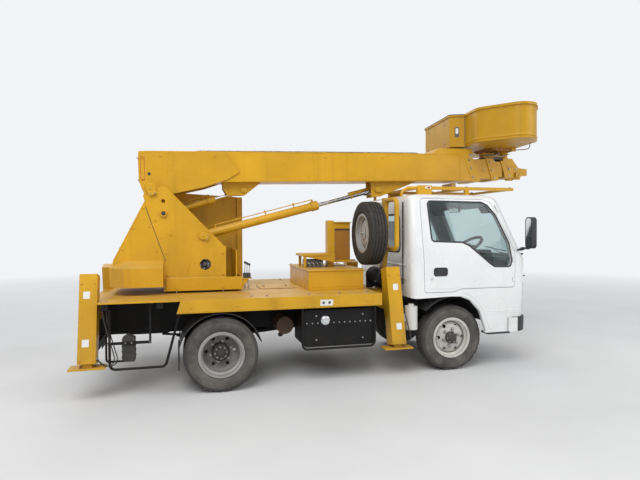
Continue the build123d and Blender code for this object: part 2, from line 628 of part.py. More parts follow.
# Bucket mount: level bracket on the tip pin, with the upright swing post
POST_RADIUS = 45.0
POST_TOP = BUCKET_BOTTOM - 6
with BuildPart() as bucket_mount:
    bracket = [
        (TIP_PIN[0] - 50, TIP_PIN[1] - 60), (TIP_PIN[0] + 45, TIP_PIN[1] - 60),
        (TIP_PIN[0] + 60, TIP_PIN[1] + 40),
        (SWING_X + 70, 2440), (SWING_X - 60, 2440), (SWING_X - 60, 2425),
    ]
    half = TIP_HALF_WIDTH - 22
    for y in (half, -half + 30):
        extrude(shape(side(y), bracket), amount=30)
    box((SWING_X - 60, -half, 2416), (SWING_X + 70, half, 2440))
    rod((SWING_X, 0, 2420), (SWING_X, 0, POST_TOP), POST_RADIUS)
    rod(
        (TIP_PIN[0], -TIP_HALF_WIDTH, TIP_PIN[1]), (TIP_PIN[0], TIP_HALF_WIDTH, TIP_PIN[1]),
        TIP_PIN_BORE + RUNNING_GAP, Mode.SUBTRACT,
    )
save(bucket_mount.part, "bucket_mount")

# Bucket: two-man tub lying across the truck, with a narrower tray along its back
TUB = [(-270, 751), (-270, -550), (70, -905), (240, -905), (420, -640), (420, 751)]
TRAY = [(-445, 751), (-445, -155), (-268, -204), (-200, -204), (-200, 751)]
BUCKET_CENTRE_X = 3300.0
TUB_CORNER = 170.0
RIM_REACH = 12.0
RIM_DEPTH = 28.0


def bucket_plane(z):
    centre = Vector(REAR_AXLE_X + BUCKET_CENTRE_X, 0, z)
    return Plane(origin=centre, x_dir=(cos(radians(BUCKET_TURN)), sin(radians(BUCKET_TURN)), 0), z_dir=(0, 0, 1))


with BuildPart() as bucket:
    depth = BUCKET_RIM - BUCKET_BOTTOM
    extrude(shape(bucket_plane(BUCKET_BOTTOM), TUB, TUB_CORNER), amount=depth)
    extrude(shape(bucket_plane(BUCKET_BOTTOM), TRAY, 30), amount=depth)
    with BuildSketch(bucket_plane(BUCKET_BOTTOM + BUCKET_WALL)) as tub_inside:
        with BuildLine():
            FilletPolyline(*TUB, radius=TUB_CORNER, close=True)
        make_face()
        offset(amount=-BUCKET_WALL)
    extrude(tub_inside.sketch, amount=depth, mode=Mode.SUBTRACT)
    tray_inside = [
        (-445 + BUCKET_WALL, 751 - BUCKET_WALL), (-445 + BUCKET_WALL, -155 + BUCKET_WALL),
        (-270, -190), (-270, 751 - BUCKET_WALL),
    ]
    extrude(shape(bucket_plane(BUCKET_BOTTOM + BUCKET_WALL), tray_inside), amount=depth, mode=Mode.SUBTRACT)
    rod((SWING_X, 0, POST_TOP + RUNNING_GAP), (SWING_X, 0, BUCKET_BOTTOM + 2), POST_RADIUS + 30)
    with BuildSketch(bucket_plane(BUCKET_RIM - RIM_DEPTH)) as rim:
        for outline, corner in ((TUB, TUB_CORNER), (TRAY, 30)):
            add(shape(Plane.XY, outline, corner))
        offset(amount=RIM_REACH)
        for outline, corner in ((TUB, TUB_CORNER), (TRAY, 30)):
            add(shape(Plane.XY, outline, corner), mode=Mode.SUBTRACT)
    extrude(rim.sketch, amount=RIM_DEPTH)
save(bucket.part, "bucket")

# Cab form: rows are height, rear station, half width, shoulder station
CAB_SECTIONS = (
    (400.0, 2010.0, 838.0, 3265.0),
    (1200.0, 1992.0, 847.5, 3285.0),
    (1860.0, 1995.0, 775.0, 2975.0),
    (1890.0, 2006.0, 760.0, 2952.0),
    (1912.0, 2034.0, 728.0, 2915.0),
    (1925.0, 2076.0, 686.0, 2880.0),
    (1930.0, 2130.0, 630.0, 2830.0),
)
CORNER_DEPTH = 195.0
CORNER_WIDTH = 285.0
# The front corner's curve, as shares of its depth and its width from the side to the nose
CORNER_CURVE = ((0.0, 0.0), (0.30, 0.08), (0.60, 0.27), (0.85, 0.60), (1.0, 1.0))
REAR_CORNER = 72.0
REAR_CORNER_ANGLES = (0, 30, 60, 90)


def cab_ring(level, rear, half_width, shoulder, inset):
    """Corner points of the cab's outline at one height, moved in by the inset."""
    side_end = shoulder - inset / 3
    width = half_width - inset
    share = (shoulder + CORNER_DEPTH - inset - side_end) / CORNER_DEPTH
    corner = REAR_CORNER - inset
    left = [
        (rear + REAR_CORNER - corner * sin(radians(turn)), width - corner * (1 - cos(radians(turn))))
        for turn in reversed(REAR_CORNER_ANGLES)
    ]
    left += [
        (side_end + CORNER_DEPTH * share * ahead, width - CORNER_WIDTH * share * inward)
        for ahead, inward in CORNER_CURVE
    ]
    right = [(station, -y) for station, y in reversed(left)]
    return [Vector(REAR_AXLE_X + station, y, level) for station, y in left + right]


def cab_form(inset, drop=0.0):
    """Closed body of the cab, its walls moved in by the inset; drop lengthens it downwards."""
    rings = []
    for number, (height, rear, half_width, shoulder) in enumerate(CAB_SECTIONS):
        level = height - inset if number else height - drop
        rings.append(cab_ring(level, rear, half_width, shoulder, inset))
    faces = [Face(Wire.make_polygon(rings[0])), Face(Wire.make_polygon(rings[-1]))]
    for lower, upper in zip(rings, rings[1:]):
        for first in range(len(lower)):
            second = (first + 1) % len(lower)
            faces.append(Face(Wire.make_polygon([lower[first], lower[second], upper[second], upper[first]])))
    return Solid(Shell(faces))


cab_outer = cab_form(0)
cab_inner = cab_form(CAB_WALL, 10)

ARCH = [
    (1950, 300), (1950, 820), (2044, 803), (2440, 815), (2560, 812), (2673, 770), (2796, 645), (2871, 432),
    (2871, 300),
]
DOOR = [
    (2135, 862), (2480, 862), (2570, 892), (3240, 892), (3240, 1300), (3136, 1515), (3030, 1720), (2962, 1842),
    (2870, 1872), (2108, 1878),
]
DOOR_WINDOW = [
    (2206, 1838), (2240, 1423), (2598, 1409), (2683, 1370), (2919, 1179), (2982, 1139), (3172, 1135),
    (3188, 1196), (3160, 1386), (3010, 1698), (2915, 1800), (2850, 1830),
]
WINDSCREEN = [(-690, 1262), (690, 1262), (640, 1800), (-640, 1800)]
REAR_WINDOW = [(-520, 1300), (520, 1300), (500, 1700), (-500, 1700)]
GRILLE_SLOTS = (610.0, 660.0, 710.0, 760.0)
LAMPS = (("headlamp", 520.0, 745.0, 600.0, 760.0), ("indicator", 590.0, 775.0, 800.0, 940.0))
BUMPER_TOP = 560.0
HINGE_X = 3215.0
HINGE_Y = 841.0
HINGE_PIN = 5.0
HINGE_HEIGHTS = (980.0, 1200.0)
HINGE_HALF = 20.0

with BuildPart() as cab_shell:
    add(cab_outer)
    add(cab_inner, mode=Mode.SUBTRACT)
    box((2020, -812, CAB_FLOOR_BOTTOM), (3300, 812, CAB_FLOOR_BOTTOM + CAB_FLOOR_SHEET))
    extrude(shape(side(900), ARCH), amount=1800, mode=Mode.SUBTRACT)
    box((3150, -900, 300), (3600, 900, BUMPER_TOP), Mode.SUBTRACT)
    with BuildSketch(side(900)) as doorway:
        with BuildLine():
            FilletPolyline(*DOOR, radius=40, close=True)
        make_face()
    extrude(doorway.sketch, amount=1800, mode=Mode.SUBTRACT)
    for height in HINGE_HEIGHTS:
        for hand in (-1, 1):
            y = hand * HINGE_Y
            rod((HINGE_X, y, height - HINGE_HALF), (HINGE_X, y, height + HINGE_HALF), HINGE_PIN + 3)
            box((HINGE_X, y - 4, height - HINGE_HALF), (HINGE_X + 47, y + 4, height + HINGE_HALF))
            rod(
                (HINGE_X, y, height - HINGE_HALF - 1), (HINGE_X, y, height + HINGE_HALF + 1),
                HINGE_PIN + RUNNING_GAP, Mode.SUBTRACT,
            )
    extrude(shape(cross(2900), WINDSCREEN, 50), amount=700, mode=Mode.SUBTRACT)
    extrude(shape(cross(1950), REAR_WINDOW, 50), amount=100, mode=Mode.SUBTRACT)
    for height in GRILLE_SLOTS:
        box((3350, -400, height), (3600, 400, height + 26), Mode.SUBTRACT)
    for name, inner, outer, low, high in LAMPS:
        for hand in (-1, 1):
            box(
                (3150, min(hand * inner, hand * outer), low), (3600, max(hand * inner, hand * outer), high),
                Mode.SUBTRACT,
            )
save(cab_shell.part, "cab_shell")

# Glass: a thin shell of the cab's own form, cut to each window with a seal gap
SEAL_GAP = 0.3
GLASS_DEPTH = 14.0
glass_outer = cab_form(GLASS_DEPTH)
glass_inner = cab_form(GLASS_DEPTH + GLASS_SHEET, 10)
with BuildPart() as panes:
    for plane, outline, reach in ((cross(2900), WINDSCREEN, 700), (cross(1950), REAR_WINDOW, 100)):
        with BuildSketch(plane) as pane:
            with BuildLine():
                FilletPolyline(*outline, radius=50, close=True)
            make_face()
            offset(amount=-SEAL_GAP)
        extrude(pane.sketch, amount=reach)
with BuildPart() as cab_glass:
    add(glass_outer)
    add(glass_inner, mode=Mode.SUBTRACT)
    add(panes.part, mode=Mode.INTERSECT)
save(cab_glass.part, "cab_glass")

# Doors, each as thick as the cab's wall, and their glass
for name, hand in (("left", 1), ("right", -1)):
    start = 900 if hand > 0 else -600
    with BuildPart() as door:
        with BuildSketch(side(start)) as panel:
            with BuildLine():
                FilletPolyline(*DOOR, radius=40, close=True)
            make_face()
            offset(amount=-DOOR_GAP)
        extrude(panel.sketch, amount=300)
        add(cab_outer, mode=Mode.INTERSECT)
        add(cab_inner, mode=Mode.SUBTRACT)
        extrude(shape(side(start + 1), DOOR_WINDOW, 30), amount=302, mode=Mode.SUBTRACT)
        for height in HINGE_HEIGHTS:
            slot = HINGE_HALF + 3
            near, far = sorted((hand * (HINGE_Y - 12), hand * 900))
            box((HINGE_X - 14, near, height - slot), (HINGE_X + 60, far, height + slot), Mode.SUBTRACT)
            rod(
                (HINGE_X, hand * HINGE_Y, height - slot - 10), (HINGE_X, hand * HINGE_Y, height + slot + 10),
                HINGE_PIN,
            )
    save(door.part, f"door_{name}")
    with BuildPart() as door_glass:
        with BuildSketch(side(start)) as pane:
            with BuildLine():
                FilletPolyline(*DOOR_WINDOW, radius=30, close=True)
            make_face()
            offset(amount=-SEAL_GAP)
        extrude(pane.sketch, amount=300)
        add(glass_outer, mode=Mode.INTERSECT)
        add(glass_inner, mode=Mode.SUBTRACT)
    save(door_glass.part, f"door_glass_{name}")

with BuildPart() as front_lamps:
    for name, inner, outer, low, high in LAMPS:
        for hand in (-1, 1):
            a, b = hand * (inner + RUNNING_GAP), hand * (outer - RUNNING_GAP)
            box((3150, min(a, b), low + RUNNING_GAP), (3600, max(a, b), high - RUNNING_GAP))
    add(cab_outer, mode=Mode.INTERSECT)
    add(cab_inner, mode=Mode.SUBTRACT)
save(front_lamps.part, "front_lamps")

with BuildPart() as bumper_band:
    box((3190, -900, 392), (3600, 900, BUMPER_TOP - 2))
with BuildPart() as front_bumper:
    add(cab_form(-22.0))
    add(cab_form(24.0, 10), mode=Mode.SUBTRACT)
    add(bumper_band.part, mode=Mode.INTERSECT)
    for y in (-320.0, 320.0):
        box((FRAME_FRONT, y - 25, RAIL_BOTTOM + 5), (3445, y + 25, BUMPER_TOP - 4))
save(front_bumper.part, "front_bumper")

# Inside the cab
CAB_FLOOR_TOP = CAB_FLOOR_BOTTOM + CAB_FLOOR_SHEET
with BuildPart() as seats:
    for low, high in ((-700, -330), (-290, 130), (250, 700)):
        box((2200, low, CAB_FLOOR_TOP), (2660, high, CAB_FLOOR_TOP + 330))
        box((2080, low, CAB_FLOOR_TOP + 250), (2230, high, CAB_FLOOR_TOP + 780))
save(seats.part, "seats")

with BuildPart() as dashboard:
    box((3000, -780, 1060), (3180, 780, 1230))
    box((3060, -780, CAB_FLOOR_TOP), (3180, 780, 1080))
    wheel_plane = Plane(origin=(REAR_AXLE_X + 2900, -420, 1330), x_dir=(0, 1, 0), z_dir=(-0.7, 0, 1))
    with BuildSketch(wheel_plane.offset(-320)) as column:
        Circle(24)
    extrude(column.sketch, amount=320)
    with BuildSketch(wheel_plane) as steering:
        Circle(200)
        Circle(172, mode=Mode.SUBTRACT)
        Rectangle(370, 34)
        Circle(46)
    extrude(steering.sketch, amount=26)
save(dashboard.part, "dashboard")

with BuildPart() as mirrors:
    with BuildSketch(cross(3275)) as face:
        with Locations((1028, 1500)):
            RectangleRounded(114, 340, 40)
    extrude(face.sketch, amount=60)
    rod((3305, 980, 1340), (3290, 730, 1290), 12)
    mirror(about=Plane.XZ)
    add(cab_outer, mode=Mode.SUBTRACT)
save(mirrors.part, "mirrors")

# What stands on the deck
with BuildPart() as deck_box:
    box((950, -500, DECK_TOP), (1570, 500, 1095))
    box((938, -512, 1095), (1582, 512, 1112))
save(deck_box.part, "deck_box")

with BuildPart() as control_console:
    box((1290, -60, 1112), (1360, 60, 1650))
    box((1360, -60, 1160), (1560, 220, 1630))
    box((950, -150, 1240), (1290, 150, 1266))
    box((980, -140, 1112), (1010, -110, 1240))
    box((980, 110, 1112), (1010, 140, 1240))
save(control_console.part, "control_console")

SPARE_X = 1672.0
SPARE_Y = -400.0
SPARE_Z = 1500.0
with BuildPart() as spare_tyre:
    tyre_ring(0)
spare_place = Location((REAR_AXLE_X + SPARE_X, SPARE_Y, SPARE_Z), (0, 0, 90))
save(spare_tyre.part.moved(spare_place), "spare_tyre")
with BuildPart() as spare_rim:
    rim_ring(0, FRONT_DISC, 1)
save(spare_rim.part.moved(spare_place), "spare_rim")
POST = [(1785, 850), (1840, 850), (1890, 1340), (1890, 1895), (1840, 1895), (1840, 1340)]
HOOP_OUT_Y = -730.0
with BuildPart() as spare_carrier:
    extrude(shape(side(SPARE_Y + 40), POST), amount=80)
    bent_tube(
        [(1865, SPARE_Y, 1868), (1865, HOOP_OUT_Y, 1868), (1865, HOOP_OUT_Y, 1330), (1865, SPARE_Y, 1330)], 70, 26,
    )
    rod((SPARE_X - 52 + RUNNING_GAP, SPARE_Y, SPARE_Z), (1850, SPARE_Y, SPARE_Z), 40)
    box((1740, -470, 850), (1880, -330, 874))
save(spare_carrier.part, "spare_carrier")

# Boom rest frame over the cab roof
with BuildPart() as roof_guard:
    for y in (-420.0, 420.0):
        box((2240, y - 20, 2000), (3500, y + 20, 2036))
        for station in (2270.0, 2880.0):
            box((station - 25, y - 20, CAB_SECTIONS[-1][0]), (station + 25, y + 20, 2036))
    for station in (2270.0, 2880.0, 3470.0):
        box((station - 20, -420, 2004), (station + 20, 420, 2032))
    rest = boom_point(3550, BOOM_BOTTOM - 24)
    box((2850, -120, 2030), (2910, 120, rest[1]))
    for y in (-420.0, 420.0):
        bent_tube([(2052, y, 1895), (2060, y, 1972), (2135, y, 2018), (2260, y, 2018)], 40, 17)
    add(cab_outer, mode=Mode.SUBTRACT)
save(roof_guard.part, "roof_guard")

# Under the deck
with BuildPart() as fuel_tank:
    tank = [(805, 368), (1565, 368), (1565, 740), (805, 740)]
    extrude(shape(side(-450), tank, 40), amount=DECK_HALF_WIDTH - 58 - 450)
    rod((1020, -800, 735), (1020, -820, 790), 30)
    rod((1020, -820, 790), (1020, -826, 806), 38)
    box((900, -460, 600), (940, -FRAME_HALF_WIDTH, 660))
    box((1400, -460, 600), (1440, -FRAME_HALF_WIDTH, 660))
save(fuel_tank.part, "fuel_tank")

with BuildPart() as muffler:
    rod((660, -650, 560), (660, -FRAME_HALF_WIDTH, 560), 85)
save(muffler.part, "muffler")

with BuildPart() as washer_bottle:
    rod((2020, -752, 470), (2020, -752, 720), 68)
    rod((2020, -752, 720), (2020, -752, 742), 30)
    box((LEG_STATIONS[1] + LEG_SLEEVE / 2 + RUNNING_GAP, -772, 560), (1965, -732, 640))
save(washer_bottle.part, "washer_bottle")

# Tube guards below the deck, the same on both sides
SIDE_GUARDS = (
    ((792, 874), (792, 354), (1552, 354), (1552, 874), DECK_HALF_WIDTH - 37),
    ((-380, 874), (-380, 770), (-512, 272), (-1000, 272), (-1000, 814), DECK_HALF_WIDTH - 80),
)
with BuildPart() as side_guards:
    for *points, y in SIDE_GUARDS:
        bent_tube([(station, -y, height) for station, height in points], 50, 12)
    mirror(about=Plane.XZ)
save(side_guards.part, "side_guards")

with BuildPart() as battery_box:
    box((800, FRAME_HALF_WIDTH, 400), (1420, DECK_HALF_WIDTH - 70, 700))
save(battery_box.part, "battery_box")

# Guards over the rear wheels with a flap behind, and liners in the cab's arches
LINER_RADIUS = 462.0
with BuildPart() as mudguards:
    with BuildSketch(side(900)) as guard:
        with BuildLine():
            outer = CenterArc((0, TYRE_RADIUS), 400, 15, 150)
            inner = CenterArc((0, TYRE_RADIUS), 392, 15, 150)
            Line(outer @ 0, inner @ 0)
            Line(outer @ 1, inner @ 1)
        make_face()
    extrude(guard.sketch, amount=500)
    box((-20, 600, TYRE_RADIUS + 396), (20, 640, DECK_TOP - DECK_SHEET))
    box((-400, 600, 230), (-386, 900, 462))
    with BuildSketch(side(830)) as liner:
        with BuildLine():
            outer = CenterArc((WHEELBASE, TYRE_RADIUS), LINER_RADIUS, 20, 116)
            inner = CenterArc((WHEELBASE, TYRE_RADIUS), LINER_RADIUS - 8, 20, 116)
            Line(outer @ 0, inner @ 0)
            Line(outer @ 1, inner @ 1)
        make_face()
    extrude(liner.sketch, amount=350)
    box((WHEELBASE - 320, 500, 700), (WHEELBASE - 300, 560, CAB_FLOOR_BOTTOM))
    mirror(about=Plane.XZ)
    add(cab_shell.part, mode=Mode.SUBTRACT)
save(mudguards.part, "mudguards")

with BuildPart() as tail_lamps:
    for hand in (-1, 1):
        a, b = hand * 420, hand * 680
        box((-1190, min(a, b), 505), (-1150, max(a, b), 600))
        box((-1150, hand * 540 - 30, 500), (-1130, hand * 540 + 30, 580))
save(tail_lamps.part, "tail_lamps")


def leg_plane(station, hand):
    """Plane at the foot of an outrigger: z runs up the leaning leg."""
    lean = radians(LEG_TILT)
    return Plane(
        origin=(REAR_AXLE_X + station, hand * LEG_FOOT_Y, LEG_FOOT_Z),
        x_dir=(1, 0, 0),
        z_dir=(0, -hand * sin(lean), cos(lean)),
    )


# Outriggers: fixed sleeves joined by cross beams, and the sliding legs with their feet
COLLAR_HEIGHT = 60.0
LEG_BORE = LEG_SLEEVE - 2 * LEG_SLEEVE_WALL
with BuildPart() as outrigger_sleeves:
    for station in LEG_STATIONS:
        for hand in (-1, 1):
            plane = leg_plane(station, hand)
            with BuildSketch(plane) as wall:
                Rectangle(LEG_SLEEVE, LEG_SLEEVE)
            extrude(wall.sketch, amount=LEG_HEIGHT + 20)
        box(
            (station - 60, -LEG_FOOT_Y + 150, RAIL_TOP),
            (station + 60, LEG_FOOT_Y - 150, DECK_TOP - DECK_SHEET - 24),
        )
    for station in LEG_STATIONS:
        for hand in (-1, 1):
            plane = leg_plane(station, hand)
            with BuildSketch(plane.offset(COLLAR_HEIGHT)) as bore:
                Rectangle(LEG_BORE, LEG_BORE)
            extrude(bore.sketch, amount=LEG_HEIGHT - COLLAR_HEIGHT + 10, mode=Mode.SUBTRACT)
            with BuildSketch(plane.offset(-1)) as mouth:
                Rectangle(LEG_BOX + 2 * RUNNING_GAP, LEG_BOX + 2 * RUNNING_GAP)
            extrude(mouth.sketch, amount=200, mode=Mode.SUBTRACT)
save(outrigger_sleeves.part, "outrigger_sleeves")

for place, station in zip(("rear", "front"), LEG_STATIONS):
    for name, hand in (("left", 1), ("right", -1)):
        plane = leg_plane(station, hand)
        with BuildPart() as leg:
            with BuildSketch(plane.offset(-4)) as bar:
                Rectangle(LEG_BOX, LEG_BOX)
            extrude(bar.sketch, amount=LEG_HEIGHT - 40)
            with BuildSketch(plane.offset(LEG_HEIGHT - 84)) as head:
                Rectangle(LEG_BORE - 2 * RUNNING_GAP, LEG_BORE - 2 * RUNNING_GAP)
            extrude(head.sketch, amount=40)
            y = hand * LEG_FOOT_Y
            box(
                (station - FOOT_LENGTH / 2, y - FOOT_WIDTH / 2, LEG_FOOT_Z - 40),
                (station + FOOT_LENGTH / 2, y + FOOT_WIDTH / 2, LEG_FOOT_Z - 40 + FOOT_SHEET),
            )
            box((station - 40, y - 40, LEG_FOOT_Z - 30), (station + 40, y + 40, LEG_FOOT_Z + 6))
        save(leg.part, f"outrigger_{place}_{name}")

for name, foot, head, *rest in CYLINDERS:
    length, slope = cylinder_line(foot, head)
    print(name, "rest length", round(length, 2), "slope", round(degrees(slope), 3))
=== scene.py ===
import json
from math import cos, pi, radians, sin, tan

import bmesh
import bpy
from mathutils import Matrix, Vector
from mathutils.bvhtree import BVHTree


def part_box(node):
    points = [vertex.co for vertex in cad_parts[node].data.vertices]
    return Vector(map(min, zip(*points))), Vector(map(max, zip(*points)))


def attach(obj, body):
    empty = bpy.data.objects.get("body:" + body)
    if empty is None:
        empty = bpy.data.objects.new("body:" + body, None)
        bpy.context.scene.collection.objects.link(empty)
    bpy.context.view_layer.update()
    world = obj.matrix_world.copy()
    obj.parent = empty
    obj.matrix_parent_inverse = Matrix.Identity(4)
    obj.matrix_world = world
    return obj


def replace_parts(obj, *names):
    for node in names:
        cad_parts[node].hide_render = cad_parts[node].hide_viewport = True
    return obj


# Metres. X forward, Y to the truck's left, Z up. Stations are counted from the rear axle.
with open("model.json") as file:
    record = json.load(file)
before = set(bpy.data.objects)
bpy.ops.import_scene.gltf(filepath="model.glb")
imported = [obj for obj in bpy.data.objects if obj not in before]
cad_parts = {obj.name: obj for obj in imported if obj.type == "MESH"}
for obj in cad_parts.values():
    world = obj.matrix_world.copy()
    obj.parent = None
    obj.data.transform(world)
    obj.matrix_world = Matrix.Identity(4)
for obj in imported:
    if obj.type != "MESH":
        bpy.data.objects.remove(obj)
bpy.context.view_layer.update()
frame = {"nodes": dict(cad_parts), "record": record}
nodes = frame["nodes"]

rear_low, rear_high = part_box("tyres_rear_left")
AXLE_X = (rear_low[0] + rear_high[0]) / 2
WHEELBASE = 2.490
TYRE_RADIUS = 0.355
DECK_TOP = 0.890

# Directions
FORE, AFT = (1, 0, 0), (-1, 0, 0)
LEFT, RIGHT = (0, 1, 0), (0, -1, 0)
UP, DOWN = (0, 0, 1), (0, 0, -1)

# Where the lines start that lay details on surfaces: stations, side distances and a height off the boom
AHEAD_OF_CAB, BEHIND_CAB, BEHIND_TRUCK = 4.5, 1.0, -1.6
BESIDE_CAB, BESIDE_BOOM, BESIDE_DECK, BESIDE_LEGS, BESIDE_TANKS = 2.0, 1.2, 1.4, 1.6, 1.3
BEHIND_BOOM, OVER_BOOM = -0.6, 0.9


def at(station, y, z):
    """Point in the row frame from a station, a side distance and a height."""
    return Vector((AXLE_X + station, y, z))


def at_station(station, outline):
    return [at(station, p[0], p[1]) for p in outline]


def at_side(y, outline):
    return [at(p[0], y, p[1]) for p in outline]


def at_height(z, outline):
    return [at(p[0], p[1], z) for p in outline]


# Camera: fitted to the wheels and the deck in the photograph
FOCAL_PIXELS = 517.066
IMAGE_WIDTH = 640
SENSOR_WIDTH = 36.0
CAMERA_PLACE = at(-0.344, -5.867, 1.545)
CAMERA_TURN = radians(14.823)
CAMERA_PITCH = radians(-1.166)
CAMERA_ROLL = radians(-0.207)


def add_camera():
    ahead = Vector(
        (sin(CAMERA_TURN) * cos(CAMERA_PITCH), cos(CAMERA_TURN) * cos(CAMERA_PITCH), sin(CAMERA_PITCH))
    )
    right = Vector((cos(CAMERA_TURN), -sin(CAMERA_TURN), 0))
    above = right.cross(ahead)
    right, above = (
        right * cos(CAMERA_ROLL) + above * sin(CAMERA_ROLL),
        above * cos(CAMERA_ROLL) - right * sin(CAMERA_ROLL)
    )
    data = bpy.data.cameras.new("camera")
    data.sensor_width = SENSOR_WIDTH
    data.lens = FOCAL_PIXELS / IMAGE_WIDTH * SENSOR_WIDTH
    data.clip_end = 100
    camera = bpy.data.objects.new("camera", data)
    bpy.context.scene.collection.objects.link(camera)
    turned = Matrix((right, above, -ahead)).transposed().to_4x4()
    camera.matrix_world = Matrix.Translation(CAMERA_PLACE) @ turned
    bpy.context.scene.camera = camera


add_camera()


# Materials
class Nodes:
    """Short way to add and link shader nodes."""

    def __init__(self, name):
        self.material = bpy.data.materials.new(name)
        self.material.use_nodes = True
        self.tree = self.material.node_tree
        self.shader = self.tree.nodes["Principled BSDF"]
        self.place = self.add("ShaderNodeTexCoord").outputs["Object"]

    def add(self, kind, **settings):
        node = self.tree.nodes.new(kind)
        for key, value in settings.items():
            setattr(node, key, value)
        return node

    def link(self, value, socket):
        if isinstance(value, (int, float, tuple)):
            socket.default_value = value
        else:
            self.tree.links.new(value, socket)

    def noise(self, scale, detail=4.0, stretch=(1, 1, 1)):
        mapping = self.add("ShaderNodeMapping")
        mapping.inputs["Scale"].default_value = stretch
        self.link(self.place, mapping.inputs["Vector"])
        noise = self.add("ShaderNodeTexNoise")
        noise.inputs["Scale"].default_value = scale
        noise.inputs["Detail"].default_value = detail
        noise.inputs["Roughness"].default_value = 0.55
        self.link(mapping.outputs["Vector"], noise.inputs["Vector"])
        return noise.outputs["Fac"]

    def band(self, value, low, high, out_low=0.0, out_high=1.0):
        spread = self.add("ShaderNodeMapRange")
        spread.inputs["From Min"].default_value = low
        spread.inputs["From Max"].default_value = high
        spread.inputs["To Min"].default_value = out_low
        spread.inputs["To Max"].default_value = out_high
        self.link(value, spread.inputs["Value"])
        return spread.outputs["Result"]

    def maths(self, operation, first, second=0.0):
        node = self.add("ShaderNodeMath", operation=operation)
        self.link(first, node.inputs[0])
        self.link(second, node.inputs[1])
        return node.outputs[0]

    def mix(self, factor, first, second):
        node = self.add("ShaderNodeMix", data_type="RGBA")
        self.link(factor, node.inputs["Factor"])
        for socket, value in ((node.inputs[6], first), (node.inputs[7], second)):
            self.link(value + (1.0,) if isinstance(value, tuple) else value, socket)
        return node.outputs[2]

    def bump(self, height, strength, distance):
        node = self.add("ShaderNodeBump")
        node.inputs["Strength"].default_value = strength
        node.inputs["Distance"].default_value = distance
        self.link(height, node.inputs["Height"])
        self.link(node.outputs["Normal"], self.shader.inputs["Normal"])

    def facing_up(self):
        normal = self.add("ShaderNodeNewGeometry").outputs["Normal"]
        split = self.add("ShaderNodeSeparateXYZ")
        self.link(normal, split.inputs["Vector"])
        return split.outputs["Z"]

    def height(self):
        split = self.add("ShaderNodeSeparateXYZ")
        self.link(self.place, split.inputs["Vector"])
        return split.outputs["Z"]


def shade(colour, share):
    return tuple(min(1.0, channel * share) for channel in colour)


ROAD_DIRT = (0.105, 0.085, 0.062)
DUST = (0.36, 0.31, 0.235)
CHIP = (0.09, 0.045, 0.025)


def painted(
    name, colour, roughness=0.32, coat=0.35, dust=0.35, streaks=0.35, low_dirt=0.5, chips=0.0, metallic=0.0,
    grain=0.15, drift=1.0, specular=0.5
):
    """Paint with slow colour drift, dust on what faces up, run marks, road dirt low down and chips."""
    n = Nodes(name)
    body = n.mix(
        n.band(n.noise(2.2, 5.0), 0.35, 0.7), shade(colour, 1 - 0.14 * drift), shade(colour, 1 + 0.07 * drift)
    )
    runs = n.band(n.noise(9.0, 6.0, (1.0, 1.0, 0.07)), 0.54, 0.74, 0.0, streaks)
    upright = n.band(n.facing_up(), 0.25, -0.1)
    body = n.mix(n.maths("MULTIPLY", runs, upright), body, shade(colour, 0.42))
    settled = n.maths(
        "MULTIPLY", n.band(n.facing_up(), 0.55, 0.95), n.band(n.noise(3.5, 7.0), 0.3, 0.7, 0.2, 1.0)
    )
    body = n.mix(n.maths("MULTIPLY", settled, dust), body, DUST)
    low = n.maths("MULTIPLY", n.band(n.height(), 0.95, 0.25), n.band(n.noise(5.0, 7.0), 0.28, 0.66))
    low = n.maths("MULTIPLY", low, low_dirt)
    body = n.mix(low, body, ROAD_DIRT)
    if chips:
        spots = n.maths(
            "MULTIPLY", n.band(n.noise(42.0, 8.0), 0.66, 0.69), n.band(n.noise(3.1, 2.0), 0.5, 0.62)
        )
        body = n.mix(n.maths("MULTIPLY", spots, chips), body, CHIP)
    n.link(body, n.shader.inputs["Base Color"])
    gloss = n.maths(
        "ADD", n.band(n.noise(7.0, 5.0), 0.3, 0.75, roughness - 0.07, roughness + 0.14),
        n.maths("MULTIPLY", n.maths("ADD", settled, low), 0.3)
    )
    n.link(gloss, n.shader.inputs["Roughness"])
    n.shader.inputs["Metallic"].default_value = metallic
    n.shader.inputs["Specular IOR Level"].default_value = specular
    n.shader.inputs["Coat Weight"].default_value = coat
    n.shader.inputs["Coat Roughness"].default_value = 0.12
    n.bump(n.noise(260.0, 3.0), grain, 0.0006)
    return n.material


def rubber(name, colour=(0.022, 0.022, 0.023), dust=0.45):
    n = Nodes(name)
    patches = n.band(n.noise(6.0, 6.0), 0.35, 0.7, 0.1, dust)
    body = n.mix(patches, colour, (0.16, 0.145, 0.125))
    n.link(body, n.shader.inputs["Base Color"])
    n.link(n.band(n.noise(20.0, 4.0), 0.3, 0.7, 0.62, 0.9), n.shader.inputs["Roughness"])
    n.bump(n.noise(420.0, 3.0), 0.3, 0.0006)
    return n.material


def bare_metal(name, colour=(0.55, 0.55, 0.56), roughness=0.3):
    n = Nodes(name)
    body = n.mix(n.band(n.noise(18.0, 6.0), 0.4, 0.7), colour, shade(colour, 0.62))
    n.link(body, n.shader.inputs["Base Color"])
    n.shader.inputs["Metallic"].default_value = 1.0
    n.link(
        n.band(n.noise(60.0, 4.0), 0.3, 0.7, roughness - 0.08, roughness + 0.15), n.shader.inputs["Roughness"]
    )
    n.bump(n.noise(300.0, 3.0, (1, 1, 8)), 0.1, 0.0004)
    return n.material


